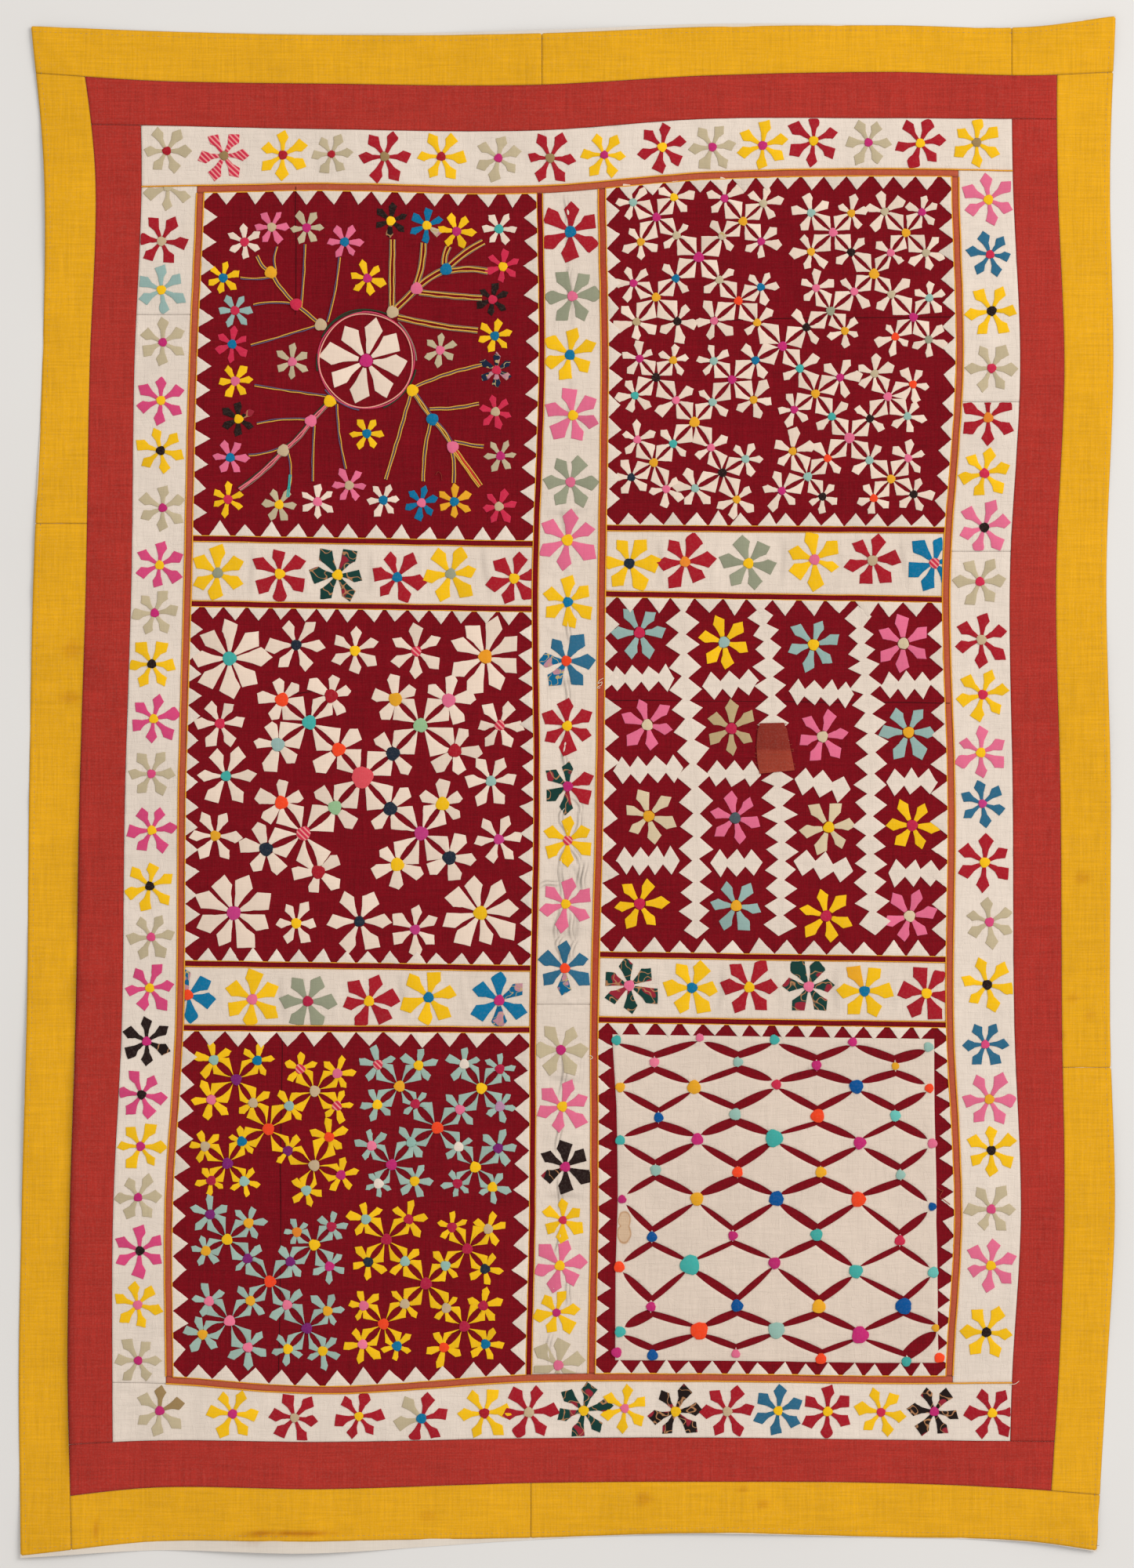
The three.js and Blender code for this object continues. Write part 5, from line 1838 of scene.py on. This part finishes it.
def make_strip_flowers():
    """Flowers of the borders, the middle strip and the cross strips, by the cloth that they are sewn to."""
    pieces = {}
    for name, (cloth, sides, rows, run, kind, *joins) in FLOWER_STRIPS.items():
        heights = [BORDER_JOINS[join] for join in joins]
        pieces[cloth] = strip_flowers(name, named_seams(sides), rows, run, kind, heights)
    for name, rows in CROSS_FLOWERS.items():
        upper, lower = strips[name]
        lines = (*half_of(name), lower, upper)
        pieces[f"cross_{name}"] = strip_flowers(name, lines, rows, "along", "strip")
    return pieces


def make_stem_flowers():
    flowers = Flowers()
    radius = panel_size("stems", STEM_FLOWER)
    for x, y, *flower in STEM_FLOWERS:
        add_flower(flowers, on_panel("stems", x, y), radius, "stems", *flower)
    rise = MIDDLE_RISE + YARN_RISE
    for x, y, colour in STEM_DOTS:
        add_dot(flowers.middles, on_panel("stems", x, y), panel_size("stems", STEM_DOT), colour, rise)
    centre = on_panel("stems", *MEDALLION)
    radius = panel_size("stems", MEDALLION_PETALS)
    add_flower(flowers, centre, radius, "large", MEDALLION_TILT, "petal ivory", "magenta", 8)
    return flowers.make("stems") + [make_stems()]


def make_white_clusters():
    flowers = Flowers()
    (*place, colour), held = WHITE_CENTRE
    for hub, clusters in WHITE_CLUSTERS:
        add_clusters(flowers, "clusters", "petal ivory", hub, clusters, [(place, held)])
    centre = on_panel("clusters", *place)
    add_dot(flowers.middles, centre, WHITE_CENTRE_MIDDLE, colour)
    for satellite in held:
        add_link(flowers.petals, centre, on_panel("clusters", *satellite), "petal ivory", "clusters")
    return flowers.make("clusters")


def make_colour_clusters():
    flowers = Flowers()
    for colour, hub, clusters in COLOUR_CLUSTERS:
        add_clusters(flowers, "colours", colour, hub, clusters)
    return flowers.make("colours")


def make_blooms():
    flowers = Flowers()
    add_clusters(flowers, "blooms", "petal ivory", *BLOOM_CENTRE)
    for x, y, tilt, petals, radius, middle in BLOOMS:
        centre = on_panel("blooms", x, y)
        size = panel_size("blooms", radius)
        dot = BLOOM_MIDDLES[petals]
        add_flower(flowers, centre, size, "large", tilt, "petal ivory", middle, petals, dot)
    return flowers.make("blooms")


def make_window_flowers():
    flowers = Flowers()
    radius = panel_size("windows", WINDOW_FLOWER)
    for x, y, *flower in WINDOW_FLOWERS:
        add_flower(flowers, on_panel("windows", x, y), radius, "windows", *flower)
    return flowers.make("windows") + [make_bars()]


def make_trellis_dots():
    dots = Patches()
    rise = MIDDLE_RISE + OVERLAY_RISE
    for row, sizes in zip(TRELLIS_KNOTS, KNOT_SIZES):
        for (x, y, colour), size in zip(row, sizes):
            add_dot(dots, on_panel("trellis", x, y), size, colour, rise)
    for x, y, colour in CORNER_KNOTS:
        add_dot(dots, on_panel("trellis", x, y), CORNER_KNOT, colour, rise)
    return [dots.make("middles_trellis")]


# The saw-toothed frames

def make_teeth(name):
    """Separate ivory teeth along the four sides of a panel, with half a tooth in each corner."""
    lines = PANELS[name]
    width, height = size_of(lines)
    count_across, count_up, depth, share = TEETH[name]
    level_side = (width / count_across, count_across, height / count_up)
    upright_side = (height / count_up, count_up, width / count_across)
    sides = [
        ((0, 0), (1, 0), (0, 1), *level_side),
        ((width, 0), (0, 1), (-1, 0), *upright_side),
        ((width, height), (-1, 0), (0, -1), *level_side),
        ((0, height), (0, -1), (1, 0), *upright_side),
    ]
    patches = Patches()

    def add_tooth(start, along, inward, shape, counts):
        corners = [
            [start[k] + along[k] * run + inward[k] * deep for k in (0, 1)]
            for run, deep in shape
        ]
        rim = rim_of(corners, counts)
        patches.add(np.stack(panel_place(lines, rim[:, 0], rim[:, 1]), axis=1), "ivory", OVERLAY_RISE)

    for start, along, inward, pitch, count, next_pitch in sides:
        reach = [CORNER_TOOTH * length * share for length in (pitch, next_pitch)]
        corner_piece = [(TOOTH_INSET, TOOTH_INSET), (reach[0], TOOTH_INSET), (TOOTH_INSET, reach[1])]
        add_tooth(start, along, inward, corner_piece, [7, 7, 6])
        for i in range(1, count):
            middle = pitch * (i + RANDOM.normal(0, 0.05))
            half = pitch * share * RANDOM.normal(0.5, 0.03)
            tip = (middle + RANDOM.normal(0, 1.5), depth * RANDOM.normal(1, 0.07))
            tooth = [(middle - half, TOOTH_INSET), (middle + half, TOOTH_INSET), tip]
            add_tooth(start, along, inward, tooth, [6, 7, 7])
    piece = patches.make(f"saw_{name}", [MATERIALS["ivory_cotton"]])
    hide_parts(f"teeth_{name}")
    girth = 2 * (width + height) * MM
    area = max(patches.area(), 0.3 * depth * MM * girth)


# The trellis cloth

def trellis_cuts():
    """Start and end of every cut of the trellis. A cut is blunt at its start, by a knot of a short row."""
    lines = PANELS["trellis"]
    knots = [
        [np.array(place_on_panel(lines, *on_panel("trellis", x, y))) for x, y, _ in row]
        for row in TRELLIS_KNOTS
    ]
    cuts = []
    for row in range(len(knots) - 1):
        full, short = (knots[row + 1], knots[row]) if row % 2 else (knots[row], knots[row + 1])
        rise = np.array([0, -1 if row % 2 else 1])
        for i, knot in enumerate(short):
            start = knot + CUT_FROM_SHORT * rise
            for other in (full[i], full[i + 1]):
                run = other - CUT_FROM_FULL * rise - start
                length = np.linalg.norm(run)
                cuts.append((start, start + run * (1 - RANDOM.uniform(*CUT_GAP) / length)))
    return cuts


def cut_ring(start, end, half, grow, steps=10):
    """An outline round a cut that is blunt at its start and pointed at its end, grown outward all round."""
    along = (end - start) / np.linalg.norm(end - start)
    side = np.array([-along[1], along[0]])
    first = start - along * grow
    last = end + along * grow
    shares = np.arange(steps + 1) / steps
    bow = half * (1 - shares ** 3.2) ** 0.75 * (1 - 0.25 * (1 - shares) ** 3)
    bow = bow + grow * np.minimum(1, 5 * (1 - shares))
    middle = first + (last - first) * shares[:, None]
    upper = middle + side * bow[:, None]
    lower = middle - side * bow[:, None]
    return np.concatenate([upper, lower[-2::-1]])


def in_a_hole(place, holes):
    for ring in holes:
        low = ring.min(axis=0)
        high = ring.max(axis=0)
        if not (low[0] < place[0] < high[0] and low[1] < place[1] < high[1]):
            continue
        run = np.roll(ring, -1, axis=0) - ring
        cross = run[:, 0] * (place[1] - ring[:, 1]) - run[:, 1] * (place[0] - ring[:, 0])
        if (cross < 0).all() or (cross > 0).all():
            return True
    return False


def add_ring(plan, ring, depth):
    """A closed line that the faces of the cloth keep to, pressed down by a depth."""
    first = len(plan["points"])
    count = len(ring)
    plan["points"] += ring.tolist()
    plan["depths"] += [depth] * count
    plan["edges"] += [(first + i, first + (i + 1) % count) for i in range(count)]


def add_box_ring(plan, low, high, inset, depth):
    """The outline of the cloth, drawn in by an inset."""
    across_steps, up_steps = ((high - low) / TRELLIS_EDGE_STEP).astype(int)
    left, bottom = low + inset
    right, top = high - inset
    box = [(left, bottom), (right, bottom), (right, top), (left, top)]
    add_ring(plan, rim_of(box, [across_steps, up_steps, across_steps, up_steps]), depth)


def add_loose_points(plan, low, high):
    """Points that fill the cloth, closer together round the water mark."""
    for gx in np.arange(low[0] + 4, high[0] - 3, TRELLIS_PITCH):
        for gy in np.arange(low[1] + 4, high[1] - 3, TRELLIS_PITCH):
            plan["points"].append([gx + RANDOM.uniform(-1, 1), gy + RANDOM.uniform(-1, 1)])
    steps = np.arange(-MARK_REACH, MARK_REACH, MARK_PITCH)
    for mark in WATER_MARKS:
        cx, cy = place_on_panel(PANELS["trellis"], *on_face(*mark[:2]))
        for gx, gy in ((cx + a, cy + b) for a in steps for b in steps):
            if low[0] + 2 < gx < high[0] - 2 and low[1] + 2 < gy < high[1] - 2:
                plan["points"].append([gx, gy])
    plan["depths"] += [0] * (len(plan["points"]) - len(plan["depths"]))


def draw_in_sides(flat, low, high):
    """Moves the points by the left and right sides of the cloth to where its charted sides run."""
    for name, at in (("left", low[0]), ("right", high[0])):
        places = [on_panel("trellis", *place) for place in reversed(TRELLIS_SIDES[name])]
        side = np.array([place_on_panel(PANELS["trellis"], *place) for place in places])
        near = np.clip(1 - np.abs(flat[:, 0] - at) / SIDE_REACH, 0, 1)
        flat[:, 0] += near ** 2 * (np.interp(flat[:, 1], side[:, 1], side[:, 0]) - at)


def make_trellis_cloth():
    """Ivory cloth with pointed slits whose edges are turned down to the panel, with painted shade on the
    turned edges.
    """
    lines = PANELS["trellis"]
    width, height = size_of(lines)
    low = np.array([TRELLIS_LEFT, TRELLIS_BOTTOM])
    high = np.array([width - TRELLIS_RIGHT, height - TRELLIS_TOP])
    plan = {"points": [], "edges": [], "depths": []}
    add_box_ring(plan, low, high, 0, TURNED_DEPTH)
    add_box_ring(plan, low, high, 1, 0.2)
    holes = []
    rims = []
    cuts = trellis_cuts()
    for i, (start, end) in enumerate(cuts):
        half = CUT_HALF_WIDTH * (LAST_CUT if i == len(cuts) - 1 else RANDOM.normal(1, CUT_SPREAD))
        holes.append(cut_ring(start, end, half, 0))
        rims.append(cut_ring(start, end, half, 0.1))
        add_ring(plan, holes[-1], TURNED_DEPTH)
        add_ring(plan, cut_ring(start, end, half, 0.9), 0.1)
    add_loose_points(plan, low, high)
    places = [Vector(p) for p in plan["points"]]
    flat, _, faces, origins, _, _ = delaunay_2d_cdt(places, plan["edges"], [], 0, 1e-5)
    flat = np.array([(p.x, p.y) for p in flat])
    depth = np.array([
        max(plan["depths"][o] for o in origin) if origin else TURNED_DEPTH * in_a_hole(point, rims)
        for point, origin in zip(flat, origins)
    ])
    kept = [f for f in faces if not in_a_hole(flat[list(f)].mean(axis=0), holes)]
    draw_in_sides(flat, low, high)
    x, y = grid_on(lines, flat[:, 0] / width, flat[:, 1] / height)
    z = ground(x, y) + OVERLAY_RISE - depth + uneven(x, y, TRELLIS_WRINKLES)
    tints = stains_and_painted_shade(x, y, linear("trellis ivory")) * marked(x, y)
    # Painted shade on the turned-down edges
    tints *= (1 - TURNED_PAINTED_SHADE * (depth > 0.5))[:, None]
    piece = new_piece("cut_trellis", to_frame(x, y, z), kept, tints, [MATERIALS["ivory_cotton"]])
    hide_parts("trellis_cloth")


# Ribbons and cords, collected in a store and then made into one mesh

def new_store():
    return {"points": [], "tints": [], "faces": []}


def add_to_store(store, points, tints, faces):
    base = sum(len(earlier) for earlier in store["points"])
    store["points"].append(points)
    store["tints"].append(tints)
    store["faces"] += [tuple(base + corner for corner in face) for face in faces]


def stored_piece(name, store, material):
    points = np.concatenate(store["points"])
    tints = np.concatenate(store["tints"])
    return new_piece(name, to_frame(*points.T), store["faces"], tints, [material])


def add_ribbon(store, left, right, rise, colour, wrinkle, parts=4):
    """A flat strip between two edges that turn at the same stations. Returns its area."""
    stations = np.arange(len(left))
    rows = np.linspace(0, len(left) - 1, parts * (len(left) - 1) + 1)
    left, right = (
        np.stack([np.interp(rows, stations, edge[:, k]) for k in (0, 1)], axis=1) for edge in (left, right)
    )
    width = np.linalg.norm(right - left, axis=1)
    rim = np.minimum(0.3 / np.maximum(width, 0.1), 0.08)
    inner = np.minimum(1.1 / np.maximum(width, 0.1), 0.2)
    full = np.ones_like(rim)
    columns = [0 * full, rim, inner, 0.25 * full, 0.5 * full, 0.75 * full, 1 - inner, 1 - rim, full]
    shares = np.stack(columns, axis=1)[..., None]
    flat = (left[:, None, :] * (1 - shares) + right[:, None, :] * shares).reshape(-1, 2)
    x, y = flat.T
    # Painted shade: darker at the turned edges and along the middle crease
    shade = np.tile(RIBBON_PAINTED_SHADES, len(rows))
    z = ground(x, y) + np.tile(RIBBON_RISES, len(rows)) * rise + wrinkle * noise(x, y, 9, 6, 20)
    tints = stains_and_painted_shade(x, y, linear(colour)) * shade[:, None]
    add_to_store(store, np.stack([x, y, z], axis=1), tints, grid_faces(len(columns), len(rows)))
    steps = np.linalg.norm(np.diff((left + right) / 2, axis=0), axis=1)
    return float(((width[1:] + width[:-1]) / 2 * steps).sum()) * MM * MM


def add_tube(store, path, radius, colour, sides=6):
    """One round cord along a path of points."""
    path = np.array(path)
    ahead = np.gradient(path, axis=0)
    ahead /= np.linalg.norm(ahead, axis=1, keepdims=True)
    side = np.cross(ahead, [0, 0, 1])
    side /= np.linalg.norm(side, axis=1, keepdims=True)
    over = np.cross(side, ahead)
    turns = np.arange(sides) * 2 * math.pi / sides
    ring = side[:, None, :] * np.cos(turns)[None, :, None] + over[:, None, :] * np.sin(turns)[None, :, None]
    points = (path[:, None, :] + radius * ring).reshape(-1, 3)
    faces = []
    for i in range(len(path) - 1):
        for k in range(sides):
            a = i * sides + k
            b = i * sides + (k + 1) % sides
            faces.append((a, a + sides, b + sides, b))
    add_to_store(store, points, np.ones((len(points), 3)) * linear(colour), faces)


def add_cord(store, x, y, height, radius, colour, sides=6):
    """A cord that lies at a height over the face."""
    add_tube(store, np.stack([x, y, ground(x, y) + height], axis=1), radius, colour, sides)


# The diamond chains and bars, and the mending patch

def add_diamonds(store, start, tips, end, reach, waist):
    """A strip cut into diamonds between two ends. Returns its area."""
    path = [start]
    widths = [DIAMOND_END]
    for i, tip in enumerate(tips):
        last = i == len(tips) - 1
        path += [tip, end if last else (tip + tips[i + 1]) / 2]
        widths += [reach[i], DIAMOND_END if last else waist]
    path = np.array(path)
    run = np.gradient(path, axis=0)
    run /= np.linalg.norm(run, axis=1, keepdims=True)
    side = np.stack([-run[:, 1], run[:, 0]], axis=1)
    edges = []
    for sign in (1, -1):
        out = sign * np.array(widths) * RANDOM.normal(1, DIAMOND_SPREAD, len(path))
        slip = RANDOM.normal(0, DIAMOND_SLIP, len(path))
        edges.append(path + side * out[:, None] + run * slip[:, None])
    return add_ribbon(store, *edges, OVERLAY_RISE, "ivory", 0.3)


def make_chains():
    for i, chart in enumerate(CHAINS):
        places = np.array([on_panel("windows", x, y) for x, y in chart])
        reach = [DIAMOND_HALF_WIDTH] * (len(places) - 2)
        for narrow in NARROW_DIAMONDS[i]:
            reach[narrow] = NARROW_DIAMOND
        store = new_store()
        area = add_diamonds(store, places[0], places[1:-1], places[-1], reach, WAIST_HALF_WIDTH)
        piece = stored_piece(f"diamonds_{i + 1}", store, MATERIALS["ivory_cotton"])
        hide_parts(f"chain_{i + 1}")


def make_bars():
    store = new_store()
    for x0, y0, x1, y1, count in BARS:
        start = np.array(on_panel("windows", x0, y0))
        end = np.array(on_panel("windows", x1, y1))
        tips = start + (end - start) * ((np.arange(count) + 0.5) / count)[:, None]
        add_diamonds(store, start, tips, end, [BAR_HALF_WIDTH] * count, BAR_WAIST)
    piece = stored_piece("window_bars", store, MATERIALS["ivory_cotton"])
    return piece


def make_mend():
    """A rust-brown patch with a worn lower part and frayed edges, laid over the middle chain."""
    left, right = (
        np.array([on_panel("windows", *place) for place in edge]) for edge in (MEND_LEFT, MEND_RIGHT)
    )
    store = new_store()
    area = add_ribbon(store, right, left, MEND_RISE, "mend", 0.5, 7)
    fold = on_panel("windows", 0, MEND_WORN)[1]
    worn = np.clip((fold - store["points"][0][:, 1]) / 5, 0, 1)[:, None]
    store["tints"][0] *= 1 - worn + worn * linear("worn mend") / linear("mend")
    for edge, out in ((left, -1), (right, 1)):
        for share in RANDOM.uniform(0, len(edge) - 1, FRAYS):
            i = int(share)
            root = edge[i] + (edge[i + 1] - edge[i]) * (share - i)
            reach = np.array([0, 0.5, 1]) * RANDOM.uniform(*FRAY_LENGTH) * out
            x = root[0] + reach
            y = root[1] + np.abs(reach) * RANDOM.uniform(-FRAY_SLANT, FRAY_SLANT)
            add_cord(store, x, y, OVERLAY_RISE + np.array([0.6, 0.5, 0.2]), FRAY_RADIUS, "worn mend", 4)
    piece = stored_piece("sewn_mend", store, MATERIALS["mend_cotton"])
    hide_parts("mend_patch")


# Piping, seams, yarns and stitches

def add_piping(store, line, left, right, radius, count, layer, shift=0):
    """A yellow cord along a line across the quilt, from a left line to a right one."""
    x = np.linspace(crossing(left, line)[0], crossing(right, line)[0], count)
    sway = PIPING_SWAY * noise(x, x + shift, SWAY_LENGTH, SWAY_LENGTH, layer)
    add_cord(store, x, line(x) + sway, PIPING_HEIGHT * radius, radius, "piping")


def make_piping():
    """Thin yellow cords along both edges of every narrow strip."""
    store = new_store()
    for name, radius in PIPING_UP.items():
        line = seams[name]
        lowest = crossing(line, seams["fieldBottom"])[1]
        highest = crossing(line, seams["fieldTop"])[1]
        y = np.linspace(lowest, highest, 240)
        sway = PIPING_SWAY * noise(y, y, SWAY_LENGTH, SWAY_LENGTH, 14)
        add_cord(store, line(y) + sway, y, PIPING_HEIGHT * radius, radius, "piping")
    for names in PIPING_ACROSS:
        add_piping(store, *named_seams(names), THICK_PIPING, 160, 15)
    for name, (upper, lower) in strips.items():
        for line in (upper, above(name), lower, below(name)):
            add_piping(store, line, *half_of(name), THIN_PIPING, 80, 16, 50)
    return stored_piece("piping", store, YARN)


def make_join_shadows():
    """Thin dark cords along the seams and pressed folds inside the panels: painted shadow of them."""
    store = new_store()
    for x0, y0, x1, y1 in JOINS:
        start = np.array(on_face(x0, y0))
        end = np.array(on_face(x1, y1))
        x, y = (start + (end - start) * np.linspace(0, 1, 120)[:, None]).T
        sway = uneven(x, y, JOIN_SWAY)
        add_cord(store, x + sway, y + sway, JOIN_HEIGHT * JOIN_RADIUS, JOIN_RADIUS, "seam")
    return stored_piece("panel_joins", store, YARN)


def make_thread_ends():
    """Loose ends of thread that lie on the face in loops."""
    store = new_store()
    for colour, places in THREAD_ENDS:
        shares = np.linspace(0, len(places) - 1, 8 * len(places))
        columns = zip(*(on_face(*place) for place in places))
        x, y = (curve(range(len(places)), values)(shares) for values in columns)
        add_cord(store, x, y, THREAD_RISE, THREAD_RADIUS, colour, 5)
    return stored_piece("thread_ends", store, YARN)


def add_stem(store, number, start, end, diagonal, branch):
    """The yarns of one stem, side by side: thick ones on a diagonal, thin ones on a branch."""
    length = np.linalg.norm(end - start)
    along = (end - start) / length
    side = np.array([-along[1], along[0]])
    share = np.linspace(0, 1, max(6, int(length / 3)))
    bow = STEM_BOW * math.sin(number) * np.sin(math.pi * share)
    leaning = min(abs(along)) > LEAST_LEAN
    for spread, radius, yarn in diagonal if leaning or not branch else branch:
        sway = 0.5 * noise(share * length, share * 0 + 7.0 * spread + number, 12, 5, 17)
        path = start + (end - start) * share[:, None] + (spread + sway + bow)[:, None] * side
        add_cord(store, *path.T, YARN_RISE, radius, yarn, 5)


def make_stems():
    """Couched yarns: a few strands side by side along every stem, and the ring of the medallion."""
    store = new_store()
    for corner_name, runs in STEMS.items():
        for number, (x0, y0, x1, y1) in enumerate(runs):
            start = np.array(on_panel("stems", x0, y0))
            end = np.array(on_panel("stems", x1, y1))
            add_stem(store, number, start, end, *STEM_YARNS[corner_name])
    cx, cy = on_panel("stems", *MEDALLION)
    ring = panel_size("stems", MEDALLION_RING)
    for first, last, out, yarn in RING_ARCS:
        turns = np.radians(np.linspace(first, last, max(12, (last - first) // 3)))
        radius = ring + out + 0.7 * np.sin(5 * turns + out)
        add_cord(store, cx + radius * np.cos(turns), cy + radius * np.sin(turns), YARN_RISE, 1.0, yarn, 5)
    return stored_piece("couched_stems", store, YARN)


def make_hem_stitches():
    """A running stitch round the yellow border, just inside its hem."""
    store = new_store()
    y = np.arange(*STITCHED_UP, STITCH_STEP)
    x = np.arange(*STITCHED_ACROSS, STITCH_STEP)
    runs = [
        (up["leftEdge"](y) + HEM_INSET, y, (0, 1)),
        (up["rightEdge"](y) - HEM_INSET, y, (0, 1)),
        (x, across["topEdge"](x) - HEM_INSET, (1, 0)),
        (x, across["bottomEdge"](x) + HEM_INSET, (1, 0)),
    ]
    shares = np.array([-1, -0.5, 0.5, 1])
    for xs, ys, (dx, dy) in runs:
        half = RANDOM.normal(*STITCH_HALF_LENGTH, len(xs))
        for px, py, reach in zip(xs, ys, half):
            path = (px + shares * reach * dx, py + shares * reach * dy)
            add_cord(store, *path, np.array(STITCH_HEIGHTS), STITCH_RADIUS, "thread", 4)
    return stored_piece("hem_stitches", store, YARN)


# Assembly

def make_face(flowers):
    for name, lines, hems in face_lengths():
        piece, width, height = cloth_sheet(name, lines, hems)
        flat = (max(width, LEAST_CUT), max(height, LEAST_CUT))
        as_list(flowers.get(name, []))


def make_quilt():
    backing, flat = make_backing()
    flowers = make_strip_flowers()
    flowers["panel_stems"] = make_stem_flowers()
    flowers["panel_clusters"] = make_white_clusters()
    flowers["panel_blooms"] = make_blooms()
    flowers["panel_windows"] = make_window_flowers()
    flowers["panel_colours"] = make_colour_clusters()
    flowers["panel_trellis"] = make_trellis_dots()
    flowers["rust_top"] = [make_piping(), make_join_shadows(), make_thread_ends()]
    flowers["yellow_top_2"] = [make_hem_stitches()]
    make_face(flowers)
    for name in PANELS:
        make_teeth(name)
    make_trellis_cloth()
    make_chains()
    make_mend()


def make_floor():
    mesh = bpy.data.meshes.new("floor")
    corners = [(x * FLOOR_HALF, y * FLOOR_HALF, 0) for x, y in ((-1, -1), (1, -1), (1, 1), (-1, 1))]
    mesh.from_pydata(corners, [], [(0, 1, 2, 3)])
    mesh.materials.append(floor_material())
    floor = bpy.data.objects.new("floor", mesh)
    bpy.context.collection.objects.link(floor)


def make_light():
    """A large soft window up on the right, so that the left side is a little darker, in a pale room."""
    window = bpy.data.lights.new("window_light", "AREA")
    window.energy = WINDOW_ENERGY
    window.size = WINDOW_SIZE
    window.color = WINDOW_COLOUR
    lamp = bpy.data.objects.new("window_light", window)
    lamp.location = WINDOW_PLACE
    lamp.rotation_mode = "QUATERNION"
    lamp.rotation_quaternion = (-lamp.location).to_track_quat("-Z", "Y")
    bpy.context.collection.objects.link(lamp)
    world = bpy.data.worlds.new("room")
    world.use_nodes = True
    world.node_tree.nodes["Background"].inputs["Color"].default_value = ROOM_COLOUR
    world.node_tree.nodes["Background"].inputs["Strength"].default_value = ROOM_STRENGTH
    bpy.context.scene.world = world


def make_camera():
    wide, tall = VIEW_SIZE
    data = bpy.data.cameras.new("camera")
    data.sensor_width = SENSOR_WIDTH
    data.lens = SENSOR_WIDTH * CAMERA_DISTANCE / (tall * FACE_UNIT * MM)
    camera = bpy.data.objects.new("camera", data)
    x, y = on_face(wide / 2, tall / 2)
    camera.location = ((x + MOVE_X) * MM, (y + MOVE_Y) * MM, CAMERA_DISTANCE)
    bpy.context.collection.objects.link(camera)
    bpy.context.scene.camera = camera
    bpy.context.scene.view_settings.view_transform = "Standard"


make_quilt()
make_floor()
make_light()
make_camera()
